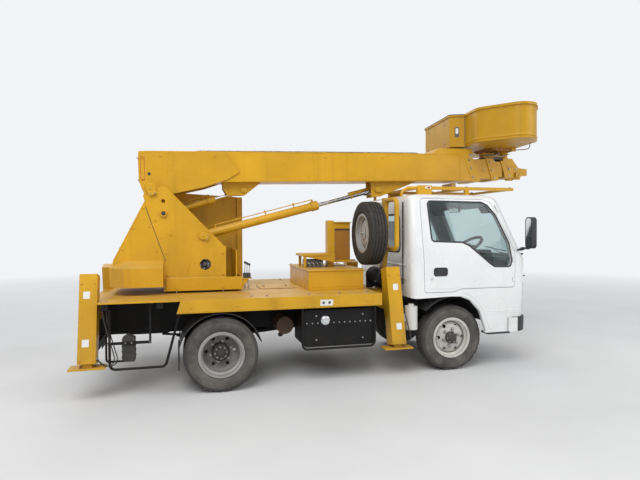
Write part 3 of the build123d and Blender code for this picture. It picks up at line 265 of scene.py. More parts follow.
def glass(name, tint=(0.66, 0.76, 0.76)):
    n = Nodes(name)
    smears = n.band(n.noise(7.0, 6.0), 0.5, 0.8, 0.0, 0.10)
    n.link(n.mix(smears, tint, (0.5, 0.48, 0.44)), n.shader.inputs["Base Color"])
    n.shader.inputs["Transmission Weight"].default_value = 1.0
    n.shader.inputs["IOR"].default_value = 1.45
    n.link(n.band(n.noise(11.0, 5.0), 0.4, 0.8, 0.0, 0.07), n.shader.inputs["Roughness"])
    return n.material


def lens(name, colour):
    """Moulded lens with the silvered bowl that shines through it."""
    n = Nodes(name)
    n.link(
        n.mix(n.band(n.noise(30.0, 3.0), 0.35, 0.65), colour, shade(colour, 0.72)),
        n.shader.inputs["Base Color"]
    )
    n.shader.inputs["Metallic"].default_value = 0.55
    n.link(n.band(n.noise(14.0, 3.0), 0.3, 0.7, 0.10, 0.22), n.shader.inputs["Roughness"])
    n.shader.inputs["Coat Weight"].default_value = 1.0
    n.shader.inputs["Coat Roughness"].default_value = 0.03
    return n.material


def plastic(name, colour, roughness=0.5, grain=0.3):
    n = Nodes(name)
    body = n.mix(
        n.band(n.noise(4.0, 6.0), 0.4, 0.75, 0.0, 0.4), colour, tuple(c * 0.6 + 0.05 for c in colour)
    )
    n.link(body, n.shader.inputs["Base Color"])
    n.link(
        n.band(n.noise(16.0, 4.0), 0.3, 0.7, roughness - 0.1, roughness + 0.12), n.shader.inputs["Roughness"]
    )
    n.bump(n.noise(900.0, 2.0), grain, 0.0004)
    return n.material


YELLOW = (0.600, 0.322, 0.0120)
WHITE = (0.76, 0.77, 0.765)
BLACK = (0.008, 0.008, 0.0085)
paint_yellow = painted("paint_yellow", YELLOW, coat=0.08, dust=0.28, low_dirt=0.3, chips=0.7, specular=0.28)
paint_bucket = painted(
    "paint_bucket", shade(YELLOW, 0.86), roughness=0.38, coat=0.05, chips=0.3, specular=0.28
)
paint_white = painted(
    "paint_white", WHITE, roughness=0.2, coat=0.6, dust=0.10, streaks=0.05, low_dirt=0.12, drift=0.4
)
paint_black = painted(
    "paint_black", BLACK, roughness=0.55, coat=0.0, dust=0.16, streaks=0.2, low_dirt=0.10, specular=0.2
)
rim_white = painted(
    "rim_white", (0.66, 0.65, 0.61), roughness=0.4, coat=0.1, dust=0.2, low_dirt=0.5, chips=1.0
)
rim_silver = painted(
    "rim_silver", (0.40, 0.395, 0.38), roughness=0.42, coat=0.0, dust=0.2, low_dirt=0.45, metallic=0.25,
    chips=1.0
)
rust = painted("rust", (0.10, 0.060, 0.042), roughness=0.85, coat=0.0, dust=0.3, grain=0.7)
cast_grey = painted("cast_grey", (0.06, 0.058, 0.055), roughness=0.7, coat=0.0, dust=0.5, grain=0.7)
tyre_rubber = rubber("tyre_rubber")
tread_rubber = rubber("tread_rubber", (0.024, 0.023, 0.022), dust=0.32)
wall_rubber = rubber("wall_rubber", (0.034, 0.033, 0.031), dust=0.85)
hub_iron = painted(
    "hub_iron", (0.035, 0.033, 0.031), roughness=0.6, coat=0.0, dust=0.3, low_dirt=0.35, chips=0.5
)
spare_rubber = rubber("spare_rubber", (0.014, 0.013, 0.012), dust=0.08)
black_rubber = rubber("black_rubber", (0.016, 0.016, 0.017), dust=0.2)
chrome = bare_metal("chrome", (0.75, 0.76, 0.78), 0.16)
steel = bare_metal("steel", (0.42, 0.41, 0.40), 0.38)
window_glass = glass("window_glass")
black_plastic = plastic("black_plastic", (0.02, 0.02, 0.021))
grey_plastic = plastic("grey_plastic", (0.07, 0.07, 0.072))
white_plastic = plastic("white_plastic", (0.62, 0.62, 0.58), 0.45)
mirror_silver = bare_metal("mirror_silver", (0.80, 0.82, 0.84), 0.06)
lamp_clear = glass("lamp_clear", (0.92, 0.93, 0.93))
lamp_white = lens("lamp_white", (0.78, 0.79, 0.80))
lamp_orange = lens("lamp_orange", (0.62, 0.20, 0.02))
label_white = plastic("label_white", (0.72, 0.72, 0.69), 0.4, 0.1)
# Dark plastic for dark parts and print, also used as painted shade in holes and under the console hood
dark_plastic_and_shade = plastic("dark_plastic_and_shade", (0.03, 0.03, 0.03), 0.5, 0.1)
# Darker, browner copy of the yellow paint: painted shade for yellow surfaces that lie in shadow
painted_shade_ochre = painted("painted_shade_ochre", (0.36, 0.150, 0.012), roughness=0.6, coat=0.0, dust=0.2)
seat_cloth = rubber("seat_cloth", (0.055, 0.055, 0.060), dust=0.25)
# Dark orange for the line round the boom's rear cover
orange_outline = plastic("orange_outline", (0.42, 0.10, 0.02), 0.5)
weld_grey = painted("weld_grey", (0.10, 0.095, 0.09), roughness=0.6, coat=0.0, dust=0.3)
lamp_red = plastic("lamp_red", (0.42, 0.012, 0.012), 0.18, 0.05)

BY_SLOT = {
    "paint_yellow": paint_yellow, "paint_white": paint_white, "paint_black": paint_black,
    "bucket_shell": paint_bucket, "cast_grey": cast_grey, "muffler_rust": rust, "window_glass": window_glass,
    "lamp_clear": lamp_clear, "lamp_red": lamp_red, "plastic_black": black_plastic,
    "plastic_grey": grey_plastic, "plastic_white": white_plastic, "seat_cloth": seat_cloth,
    "rod_chrome": chrome, "rim_white": rim_white, "rim_silver": rim_silver, "tyre_rubber": tyre_rubber
}
slot_of = {entry["node"]: entry["material_slot"] for entry in frame["record"]["subparts"]}
for name, node in nodes.items():
    node.data.materials.clear()
    node.data.materials.append(BY_SLOT[slot_of[name]])


# Helpers for meshes
def smooth_group(limit):
    """Geometry nodes that shade a mesh smooth except over edges sharper than the limit."""
    group = bpy.data.node_groups.new("smooth_below_angle", "GeometryNodeTree")
    group.interface.new_socket(name="Geometry", in_out="INPUT", socket_type="NodeSocketGeometry")
    group.interface.new_socket(name="Geometry", in_out="OUTPUT", socket_type="NodeSocketGeometry")
    start = group.nodes.new("NodeGroupInput")
    faces = group.nodes.new("GeometryNodeSetShadeSmooth")
    edges = group.nodes.new("GeometryNodeSetShadeSmooth")
    edges.domain = "EDGE"
    angle = group.nodes.new("GeometryNodeInputMeshEdgeAngle")
    compare = group.nodes.new("FunctionNodeCompare")
    compare.operation = "LESS_THAN"
    compare.inputs["B"].default_value = limit
    end = group.nodes.new("NodeGroupOutput")
    group.links.new(start.outputs[0], faces.inputs["Geometry"])
    group.links.new(faces.outputs[0], edges.inputs["Geometry"])
    group.links.new(angle.outputs["Unsigned Angle"], compare.inputs["A"])
    group.links.new(compare.outputs[0], edges.inputs["Shade Smooth"])
    group.links.new(edges.outputs[0], end.inputs[0])
    return group


SMOOTH = smooth_group(radians(38))
BEVEL_OVER = radians(32)


def soften(thing, width, weld=False):
    """Rounded edges and even shading, as modifiers."""
    if weld:
        merge = thing.modifiers.new("weld", "WELD")
        merge.merge_threshold = 0.00005
        flat = thing.modifiers.new("flat", "DECIMATE")
        flat.decimate_type = "DISSOLVE"
        flat.angle_limit = radians(0.6)
    if width:
        bevel = thing.modifiers.new("bevel", "BEVEL")
        bevel.width = width
        bevel.segments = 2
        bevel.limit_method = "ANGLE"
        bevel.angle_limit = BEVEL_OVER
        bevel.miter_outer = "MITER_ARC"
    smooth = thing.modifiers.new("smooth", "NODES")
    smooth.node_group = SMOOTH
    if width:
        normals = thing.modifiers.new("normals", "WEIGHTED_NORMAL")
        normals.keep_sharp = True


def across(axis):
    """Two directions square to an axis and to each other."""
    axis = Vector(axis).normalized()
    first = axis.orthogonal().normalized()
    if abs(axis.z) < 0.9:
        first = Vector(UP).cross(axis).normalized()
    return first, axis.cross(first).normalized()


def filleted(route, radius):
    """Route with its corners rounded in five steps."""
    route = [Vector(p) for p in route]
    out = [route[0]]
    for before, corner, after in zip(route, route[1:], route[2:]):
        back, ahead = before - corner, after - corner
        reach = min(radius, back.length * 0.45, ahead.length * 0.45)
        start = corner + back.normalized() * reach
        end = corner + ahead.normalized() * reach
        for step in range(6):
            t = step / 5
            out.append(start * (1 - t) ** 2 + corner * 2 * t * (1 - t) + end * t ** 2)
    return out + [route[-1]]


def curved(route, steps=6):
    """Smooth curve through the points of a route."""
    route = [Vector(p) for p in route]
    padded = [route[0] * 2 - route[1]] + route + [route[-1] * 2 - route[-2]]
    out = []
    for a, b, c, d in zip(padded, padded[1:], padded[2:], padded[3:]):
        for step in range(steps):
            t = step / steps
            out.append(
                0.5 * (
                    2 * b + (c - a) * t + (
                        2 * a - 5 * b + 4 * c - d
                    ) * t * t + (3 * b - a - 3 * c + d) * t ** 3
                )
            )
    return out + [route[-1]]


class Piece:
    """One object built up from plain forms, each in one of its materials."""

    def __init__(self, name, body, *materials):
        self.name, self.body, self.materials = name, body, materials
        self.points, self.faces, self.marks = [], [], []

    def add(self, points, faces, material=0):
        start = len(self.points)
        self.points += [tuple(point) for point in points]
        self.faces += [tuple(start + i for i in face) for face in faces]
        self.marks += [material] * len(faces)

    def box(self, low, high, material=0):
        (a, b, c), (d, e, f) = low, high
        points = [
            Vector(p)
            for p in ((a, b, c), (d, b, c), (d, e, c), (a, e, c), (a, b, f), (d, b, f), (d, e, f), (a, e, f))
        ]
        self.add(
            points, [(0, 3, 2, 1), (4, 5, 6, 7), (0, 1, 5, 4), (1, 2, 6, 5), (2, 3, 7, 6), (3, 0, 4, 7)],
            material
        )

    def prism(self, outline, depth, material=0):
        """Flat outline of points pushed along a depth."""
        outline = [Vector(p) for p in outline]
        depth = Vector(depth)
        count = len(outline)
        area = Vector((0, 0, 0))
        for a, b in zip(outline, outline[1:] + outline[:1]):
            area += (a - outline[0]).cross(b - outline[0])
        if area.dot(depth) > 0:
            outline.reverse()
        faces = [tuple(range(count)), tuple(reversed(range(count, 2 * count)))]
        faces += [(i, i + count, (i + 1) % count + count, (i + 1) % count) for i in range(count)]
        self.add(outline + [p + depth for p in outline], faces, material)

    def lathe(self, centre, axis, rows, sides=32, material=0):
        """Rows of (along the axis, radius) turned about it; a radius of 0 closes an end."""
        centre, axis = Vector(centre), Vector(axis).normalized()
        u, v = across(axis)
        points, rings = [], []
        for along, radius in rows:
            if radius:
                rings.append([len(points) + i for i in range(sides)])
                for i in range(sides):
                    turn = 2 * pi * i / sides
                    points.append(centre + axis * along + (u * cos(turn) + v * sin(turn)) * radius)
            else:
                rings.append([len(points)] * sides)
                points.append(centre + axis * along)
        faces = []
        for lower, upper in zip(rings, rings[1:]):
            for i in range(sides):
                j = (i + 1) % sides
                face = (lower[i], lower[j], upper[j], upper[i])
                kept = [p for k, p in enumerate(face) if p not in face[:k]]
                if len(kept) > 2:
                    faces.append(tuple(kept))
        self.add(points, faces, material)

    def tube(self, route, radius, material=0, sides=10):
        """Round section along a route of points."""
        route = [Vector(p) for p in route]
        headings = []
        for i in range(len(route)):
            ahead = route[min(i + 1, len(route) - 1)] - route[max(i - 1, 0)]
            headings.append(ahead.normalized())
        u, _ = across(headings[0])
        points = []
        for place, heading in zip(route, headings):
            u = (u - heading * u.dot(heading)).normalized()
            v = heading.cross(u)
            for i in range(sides):
                turn = 2 * pi * i / sides
                points.append(place + (u * cos(turn) + v * sin(turn)) * radius)
        faces = []
        for ring in range(len(route) - 1):
            for i in range(sides):
                j = (i + 1) % sides
                a, b = ring * sides, (ring + 1) * sides
                faces.append((a + i, a + j, b + j, b + i))
        faces.append(tuple(reversed(range(sides))))
        faces.append(tuple(range(len(points) - sides, len(points))))
        self.add(points, faces, material)

    def bolt(self, place, axis, size, material=0, height=None):
        """Hexagon head on a washer; size is across the flats."""
        height = height or size * 0.62
        self.lathe(
            place, axis, [(0, 0), (0, size * 0.68), (size * 0.12, size * 0.68), (size * 0.12, 0)], 14,
            material
        )
        self.lathe(
            place, axis,
            [
                (size * 0.1, size * 0.577), (height, size * 0.577), (height + size * 0.08, size * 0.46),
                (height + size * 0.08, 0)
            ], 6, material
        )

    def strip(self, loops, material=0, closed=True):
        """Skin between neighbouring loops of points."""
        count = len(loops[0])
        faces = []
        for row in range(len(loops) - 1):
            for i in range(count if closed else count - 1):
                j = (i + 1) % count
                faces.append((row * count + i, row * count + j, (row + 1) * count + j, (row + 1) * count + i))
        self.add([p for loop in loops for p in loop], faces, material)

    def build(self, bevel=0.0, slot=None):
        mesh = bpy.data.meshes.new(self.name)
        mesh.from_pydata(self.points, [], self.faces)
        for material in self.materials:
            mesh.materials.append(material)
        mesh.polygons.foreach_set("material_index", self.marks)
        mesh.update()
        work = bmesh.new()
        work.from_mesh(mesh)
        bmesh.ops.recalc_face_normals(work, faces=work.faces)
        work.to_mesh(mesh)
        work.free()
        thing = bpy.data.objects.new(self.name, mesh)
        bpy.context.scene.collection.objects.link(thing)
        soften(thing, bevel)
        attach(thing, self.body)
        return thing


# Helpers that lay details on CAD surfaces
bpy.context.view_layer.update()


class Skin:
    """Surfaces of some CAD nodes, met by straight lines."""

    def __init__(self, *names):
        self.trees = []
        for name in names:
            world = nodes[name].matrix_world
            mesh = nodes[name].data
            points = [world @ vertex.co for vertex in mesh.vertices]
            self.trees.append(BVHTree.FromPolygons(points, [tuple(face.vertices) for face in mesh.polygons]))

    def meet(self, start, heading):
        """Nearest point and its normal along a line, or None where it meets nothing."""
        start, heading = Vector(start), Vector(heading).normalized()
        found = [tree.ray_cast(start, heading) for tree in self.trees]
        found = [hit for hit in found if hit[0] is not None]
        if not found:
            return None
        place, normal, _, _ = min(found, key=lambda hit: hit[3])
        return place, -normal if normal.dot(heading) > 0 else normal

    def route(self, points, heading, step=0.03, closed=False):
        """Points and normals where a run of points, pushed along a heading, lands."""
        points = [Vector(p) for p in points]
        if closed:
            points.append(points[0])
        laid = []
        for a, b in zip(points, points[1:]):
            parts = max(1, round((b - a).length / step))
            laid += [self.meet(a.lerp(b, i / parts), heading) for i in range(parts)]
        if not closed:
            laid.append(self.meet(points[-1], heading))
        return [hit for hit in laid if hit]


def rounded(outline, radius, steps=6):
    """Closed flat outline with its corners rounded by arcs."""
    outline = [Vector(p) for p in outline]
    out = []
    for number, corner in enumerate(outline):
        back = (outline[number - 1] - corner)
        ahead = (outline[(number + 1) % len(outline)] - corner)
        turn = back.angle(ahead)
        reach = min(radius / tan(turn / 2), back.length * 0.499, ahead.length * 0.499)
        start, end = corner + back.normalized() * reach, corner + ahead.normalized() * reach
        arc = reach * tan(turn / 2)
        centre = corner + (back.normalized() + ahead.normalized()).normalized() * (arc / sin(turn / 2))
        for step in range(steps + 1):
            spoke = (start - centre).lerp(end - centre, step / steps)
            out.append(centre + spoke.normalized() * arc)
    return out


def grown(outline, reach):
    """Closed flat outline moved outwards, its points as 2-D vectors in either sense."""
    outline = [Vector(p) for p in outline]
    area = sum(a.x * b.y - b.x * a.y for a, b in zip(outline, outline[1:] + outline[:1]))
    sense = 1 if area > 0 else -1
    out = []
    for number, corner in enumerate(outline):
        before = (corner - outline[number - 1]).normalized()
        after = (outline[(number + 1) % len(outline)] - corner).normalized()
        first = Vector((before.y, -before.x)) * sense
        second = Vector((after.y, -after.x)) * sense
        middle = (first + second).normalized()
        out.append(corner + middle * (reach / max(0.3, middle.dot(first))))
    return out


SINK = 0.001


def bead(piece, laid, width, height, material=0, closed=False):
    """Low rounded strip along points laid on a surface."""
    shares = ((-0.5, 0.0), (-0.42, 0.62), (-0.2, 1.0), (0.2, 1.0), (0.42, 0.62), (0.5, 0.0))
    loops = []
    count = len(laid)
    for number, (place, normal) in enumerate(laid):
        after = laid[(number + 1) % count][0] if closed or number + 1 < count else place
        before = laid[number - 1][0] if closed or number else place
        ahead = (after - before).normalized()
        side = normal.cross(ahead).normalized()
        row = [place + side * (width * share) + normal * (height * rise) for share, rise in shares]
        row += [place + side * (width * 0.5) - normal * SINK, place - side * (width * 0.5) - normal * SINK]
        loops.append(row)
    if closed:
        loops.append(loops[0])
    piece.strip(loops, material)


def trace(piece, skin, points, heading, step, width, height, material=0, closed=False):
    """Bead where a run of points, pushed along a heading, lands."""
    bead(piece, skin.route(points, heading, step, closed), width, height, material, closed)


def plate(piece, skin, outline, heading, thickness, material=0, sink=0.0015):
    """Thin plate that follows a surface, its flat outline pushed along a heading."""
    laid = [skin.meet(point, heading) for point in outline]
    if None in laid:
        raise ValueError(f"a plate of {piece.name} hangs over an edge: {outline[laid.index(None)]}")
    upper = [place + normal * thickness for place, normal in laid]
    lower = [place - normal * sink for place, normal in laid]
    count = len(laid)
    faces = [tuple(range(count)), tuple(reversed(range(count, 2 * count)))]
    faces += [(i, i + count, (i + 1) % count + count, (i + 1) % count) for i in range(count)]
    piece.add(upper + lower, faces, material)


def bolt_on(piece, skin, start, heading, size, material=0, axis=None, lift=0.0):
    """Bolt where a line meets a surface, square to it or along a given axis."""
    place, normal = skin.meet(start, heading)
    axis = Vector(axis or normal)
    piece.bolt(place + axis * lift, axis, size, material)


def card(centre, along, width, height, radius=0.004):
    """Upright rounded rectangle of points about a centre, for a plate."""
    centre, along, above = Vector(centre), Vector(along).normalized(), Vector(UP)
    corners = [
        (-width / 2, -height / 2), (width / 2, -height / 2), (width / 2, height / 2), (-width / 2, height / 2)
    ]
    flat = rounded([(x, y) for x, y in corners], radius, 3)
    return [centre + along * p.x + above * p.y for p in flat]


# CAD nodes keep their shapes; rounded edges and even shading come from modifiers
BEVELS = {
    "boom_base": 0.004, "boom_brackets": 0.003, "boom_mid": 0.003, "boom_tip": 0.003,
    "turntable_frame": 0.003, "counterweight": 0.030, "deck": 0.004, "deck_box": 0.005,
    "control_console": 0.004, "bucket": 0.004, "chassis_frame": 0.003, "fuel_tank": 0.006,
    "battery_box": 0.006, "outrigger_sleeves": 0.004, "outrigger_front_left": 0.003,
    "outrigger_front_right": 0.003, "outrigger_rear_left": 0.003, "outrigger_rear_right": 0.003,
    "roof_guard": 0.003, "spare_carrier": 0.003, "mudguards": 0.002, "front_bumper": 0.004, "mirrors": 0.006,
    "engine": 0.010, "rear_axle": 0.003, "front_axle": 0.003, "bucket_mount": 0.003, "dashboard": 0.008,
    "tail_lamps": 0.004, "cab_shell": 0.0, "door_left": 0.0025, "door_right": 0.0025, "slew_ring": 0.002,
    "muffler": 0.006, "washer_bottle": 0.004, "lift_barrel": 0.002, "level_barrel": 0.002
}
for name, node in nodes.items():
    soften(node, BEVELS.get(name, 0.0), weld=True)
nodes["bucket_mount"].data.materials[0] = paint_yellow

# Wheels: treaded tyres stand for the plain CAD rings, and the rims get their nuts, hubs and valves
TYRE_SIDES = 120
GROOVES = (-0.052, -0.018, 0.018, 0.052)
GROOVE_HALF = 0.0042
GROOVE_DEPTH = 0.0085
VALVE_RADIUS = 0.184


def tyre_rows():
    """Half-profiles over the tyre: (across, radius, kind), from one bead over the tread to the other."""
    wall = [
        (0.0783, 0.206, "wall"), (0.0785, 0.222, "wall"), (0.0850, 0.229, "wall"), (0.0862, 0.236, "wall"),
        (0.0900, 0.240, "wall"), (0.0957, 0.252, "wall"), (0.0965, 0.2545, "wall"), (0.0978, 0.2545, "wall"),
        (0.0992, 0.262, "wall"), (0.1008, 0.276, "wall"), (0.1014, 0.2855, "wall"), (0.1023, 0.2870, "wall"),
        (0.1023, 0.2915, "wall"), (0.1014, 0.2930, "wall"), (0.1004, 0.306, "wall"), (0.0990, 0.318, "wall"),
        (0.0968, 0.3275, "lug"), (0.0940, 0.3345, "lug"), (0.0890, 0.3430, "lug"), (0.0815, 0.3500, "lug"),
        (0.0770, 0.3512, "lug")
    ]
    tread = []
    for centre in GROOVES[2:]:
        tread += [
            (centre - GROOVE_HALF - 0.0012, 0.0, "top"), (centre - GROOVE_HALF + 0.0010, 1.0, "cut"),
            (centre + GROOVE_HALF - 0.0010, 1.0, "cut"), (centre + GROOVE_HALF + 0.0012, 0.0, "top")
        ]
    rows = []
    for across_tread, depth, kind in tread:
        crown = 0.355 - 0.0028 * (across_tread / 0.08) ** 2
        rows.append((across_tread, crown - GROOVE_DEPTH * depth, kind))
    right = rows + wall[::-1]
    left = [(-a, r, kind) for a, r, kind in reversed(right)]
    return left + right


def add_tyre(piece, middle, axis, seed):
    rows = tyre_rows()
    axis = Vector(axis)
    u, v = across(axis)
    points = []
    for place, radius, kind in rows:
        for i in range(TYRE_SIDES):
            shift, drop = 0.0, 0.0
            if kind in ("top", "cut"):
                shift = 0.0021 * (1 if i % 4 in (0, 1) else -1)
            if kind == "lug" and (i + (0 if place > 0 else 3)) % 6 == 0:
                drop = 0.0055
            turn = 2 * pi * (i + 0.37 * seed) / TYRE_SIDES
            points.append(
                Vector(middle) + axis * (place + shift) + (u * cos(turn) + v * sin(turn)) * (radius - drop)
            )
    count = len(rows)
    for row in range(count - 1):
        a, b = row * TYRE_SIDES, (row + 1) * TYRE_SIDES
        walled = rows[row][2] == "wall" and rows[row + 1][2] == "wall"
        faces = [
            (a + i, a + (i + 1) % TYRE_SIDES, b + (i + 1) % TYRE_SIDES, b + i) for i in range(TYRE_SIDES)
        ]
        piece.faces += [tuple(len(piece.points) + k for k in face) for face in faces]
        piece.marks += [1 if walled else 0] * len(faces)
    piece.points += [tuple(p) for p in points]


def add_nuts(piece, middle, axis, radius, count, size, material=0, height=None, start=0.3):
    u, v = across(axis)
    for i in range(count):
        turn = start + 2 * pi * i / count
        piece.bolt(Vector(middle) + (u * cos(turn) + v * sin(turn)) * radius, axis, size, material, height)


def add_valve(piece, middle, axis, reach, material=0):
    u, _ = across(axis)
    foot = Vector(middle) + u * VALVE_RADIUS
    piece.tube(
        filleted(
            [foot, foot - u * 0.022 + Vector(axis) * 0.01, foot - u * 0.026 + Vector(axis) * reach], 0.012
        ), 0.0042, material, 8
    )


front_axle_x = AXLE_X + WHEELBASE
for side_name, hand in (("left", 1), ("right", -1)):
    out = Vector((0, hand, 0))
    hub = Vector((front_axle_x, hand * 0.695, TYRE_RADIUS))
    tyre = Piece(f"front_tyre_{side_name}", f"front_wheel_{side_name}", tread_rubber, wall_rubber)
    add_tyre(tyre, hub, out, hand)
    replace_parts(tyre.build(), f"tyre_front_{side_name}")
    trim = Piece(
        f"front_hub_{side_name}", f"front_wheel_{side_name}", rim_white, steel, black_rubber, hub_iron
    )
    add_nuts(trim, hub + out * 0.059, out, 0.0905, 6, 0.027, 1, 0.020)
    trim.lathe(
        hub, out,
        [
            (0.060, 0.0), (0.060, 0.0665), (0.074, 0.0655), (0.078, 0.0625), (0.0885, 0.0625),
            (0.0915, 0.058), (0.0915, 0.043), (0.097, 0.041), (0.104, 0.032), (0.106, 0.0)
        ], 36, 3
    )
    trim.lathe(
        hub, out,
        [
            (0.0796, 0.2055), (0.0880, 0.2085), (0.0895, 0.2175), (0.0875, 0.2205), (0.0835, 0.2200),
            (0.0835, 0.2120), (0.0796, 0.2055)
        ], 72, 0
    )
    trim.lathe(hub, out, [(0.0565, 0.1235), (0.0600, 0.1215), (0.0620, 0.1160), (0.0605, 0.1125)], 60, 0)
    add_valve(trim, hub + out * 0.020, out, 0.030, 2)
    add_nuts(trim, hub + out * 0.0905, out, 0.0505, 6, 0.011, 1, 0.007, 0.0)
    trim.build(0.0008)

    outer = Vector((AXLE_X, hand * 0.8205, TYRE_RADIUS))
    inner = Vector((AXLE_X, hand * 0.5855, TYRE_RADIUS))
    twins = Piece(f"rear_tyres_{side_name}", f"rear_wheels_{side_name}", tread_rubber, wall_rubber)
    add_tyre(twins, outer, out, hand + 2)
    add_tyre(twins, inner, out, hand + 5)
    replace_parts(twins.build(), f"tyres_rear_{side_name}")
    hubs = Piece(
        f"rear_hub_{side_name}", f"rear_wheels_{side_name}", rim_silver, steel, black_rubber, hub_iron
    )
    seat = outer - out * 0.1095
    add_nuts(hubs, seat, out, 0.1010, 6, 0.032, 1, 0.026)
    hubs.lathe(
        seat, out,
        [
            (0.0, 0.0), (0.0, 0.086), (0.010, 0.084), (0.014, 0.0755), (0.060, 0.0735), (0.064, 0.0865),
            (0.078, 0.0865), (0.082, 0.083), (0.0935, 0.0745), (0.0965, 0.070), (0.0975, 0.040),
            (0.106, 0.036), (0.109, 0.0)
        ], 40, 3
    )
    add_nuts(hubs, seat + out * 0.0955, out, 0.0560, 8, 0.014, 1, 0.008, 0.1)
    hubs.lathe(
        outer, out,
        [
            (0.0796, 0.2055), (0.0880, 0.2085), (0.0895, 0.2175), (0.0875, 0.2205), (0.0835, 0.2200),
            (0.0835, 0.2120), (0.0796, 0.2055)
        ], 72, 0
    )
    hubs.lathe(outer, out, [(0.0500, 0.1955), (0.0545, 0.1925), (0.0585, 0.1955)], 60, 0)
    add_valve(hubs, outer + out * 0.030, out, 0.045, 2)
    hubs.build(0.0008)

spare_low, spare_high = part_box("spare_tyre")
spare_middle = (spare_low + spare_high) / 2
spare = Piece("spare_wheel_tyre", "chassis", spare_rubber, spare_rubber)
add_tyre(spare, spare_middle, FORE, 9)
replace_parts(spare.build(), "spare_tyre")


# Cab: seals, mouldings, handles, lamps, wipers, plates and what shows through the glass
# Headings onto the two sides of the truck
RIGHT_FACE, LEFT_FACE = Vector(LEFT), Vector(RIGHT)
ARCH = (
    (1.990, 0.820), (2.044, 0.803), (2.440, 0.815), (2.560, 0.812), (2.673, 0.770), (2.796, 0.645),
    (2.871, 0.432)
)
DOOR_WINDOW = (
    (2.206, 1.838), (2.240, 1.423), (2.598, 1.409), (2.683, 1.370), (2.919, 1.179), (2.982, 1.139),
    (3.172, 1.135), (3.188, 1.196), (3.160, 1.386), (3.010, 1.698), (2.915, 1.800), (2.850, 1.830)
)
WINDSCREEN = ((-0.690, 1.262), (0.690, 1.262), (0.640, 1.800), (-0.640, 1.800))
REAR_WINDOW = ((-0.520, 1.300), (0.520, 1.300), (0.500, 1.700), (-0.500, 1.700))
HANDLE = (2.324, 1.085)
KEYHOLE = (2.221, 1.012)
CORNER_LINE = 0.636
CREASE = 0.908


cab_skin = Skin("cab_shell", "front_lamps")
bumper_skin = Skin("front_bumper", "cab_shell")
for side_name, hand in (("right", -1), ("left", 1)):
    inward = Vector((0, -hand, 0))
    door_skin = Skin(f"door_{side_name}")
    trim = Piece(
        f"door_trim_{side_name}", f"door_{side_name}", black_rubber, black_plastic, chrome, paint_white
    )
    seal = rounded(grown(DOOR_WINDOW, 0.009), 0.036, 5)
    trace(trim, door_skin, at_side(hand * BESIDE_CAB, seal), inward, 0.05, 0.019, 0.0035, 0, True)
    plate(
        trim, door_skin, card(at(HANDLE[0], hand * BESIDE_CAB, HANDLE[1]), FORE, 0.156, 0.084, 0.022),
        inward, 0.0035, 1
    )
    plate(
        trim, door_skin,
        card(at(HANDLE[0] + 0.004, hand * BESIDE_CAB, HANDLE[1] + 0.014), FORE, 0.118, 0.034, 0.012),
        inward, 0.012, 1
    )
    rim = card(at(HANDLE[0], hand * BESIDE_CAB, HANDLE[1]), FORE, 0.160, 0.088, 0.024)
    trace(trim, door_skin, rim, inward, 0.05, 0.006, 0.0055, 1, True)
    trace(
        trim, door_skin, at_side(hand * BESIDE_CAB, ((2.150, CREASE), (3.225, CREASE))), inward, 0.06, 0.005,
        0.0022, 3
    )
    lock, _ = door_skin.meet(at(KEYHOLE[0], hand * BESIDE_CAB, KEYHOLE[1]), inward)
    trim.lathe(
        lock, -inward,
        [
            (-0.001, 0), (-0.001, 0.0135), (0.002, 0.0135), (0.004, 0.0115), (0.004, 0.004), (0.0025, 0.003),
            (0.0025, 0)
        ], 20, 2
    )
    trim.build(0.0006)

    body = Piece(f"cab_mouldings_{side_name}", "chassis", paint_white, black_plastic, black_rubber)
    lip = [at(x + 0.007 * (x > 2.6), hand * BESIDE_CAB, z + 0.008) for x, z in ARCH]
    flare_low = at_side(hand * BESIDE_CAB, ((2.600, 0.852), (2.700, 0.812), (2.832, 0.668), (2.925, 0.435)))
    trace(body, cab_skin, curved(lip, 4), inward, 0.04, 0.014, 0.006, 0)
    trace(body, cab_skin, curved(flare_low, 4), inward, 0.04, 0.008, 0.0035, 0)
    trace(
        body, cab_skin, at_side(hand * BESIDE_CAB, ((2.915, CORNER_LINE), (3.262, CORNER_LINE))), inward,
        0.05, 0.009, 0.004
    )
    trace(
        body, cab_skin,
        at_side(hand * BESIDE_CAB, ((2.918, CORNER_LINE - 0.024), (3.262, CORNER_LINE - 0.024))), inward,
        0.05, 0.005, 0.0025
    )
    plate(
        body, bumper_skin,
        at_side(hand * BESIDE_CAB, ((3.191, 0.4010), (3.262, 0.4010), (3.262, 0.5570), (3.191, 0.5570))),
        inward, 0.0022, 0, 0.004
    )
    y_low, y_high = sorted((hand * 0.818, hand * 0.862))
    body.box(at(3.1560, y_low, 0.4005), at(3.1912, y_high, 0.5600), 0)
    y_low, y_high = sorted((hand * 0.700, hand * 0.836))
    body.box(at(2.905, y_low, 0.378), at(3.182, y_high, 0.399), 1)
    gutter = at_side(hand * BESIDE_CAB, ((2.098, 1.8885), (2.870, 1.884), (2.966, 1.854), (3.045, 1.718)))
    trace(body, cab_skin, curved(gutter, 4), inward, 0.04, 0.010, 0.006, 0)
    body.build(0.0008)

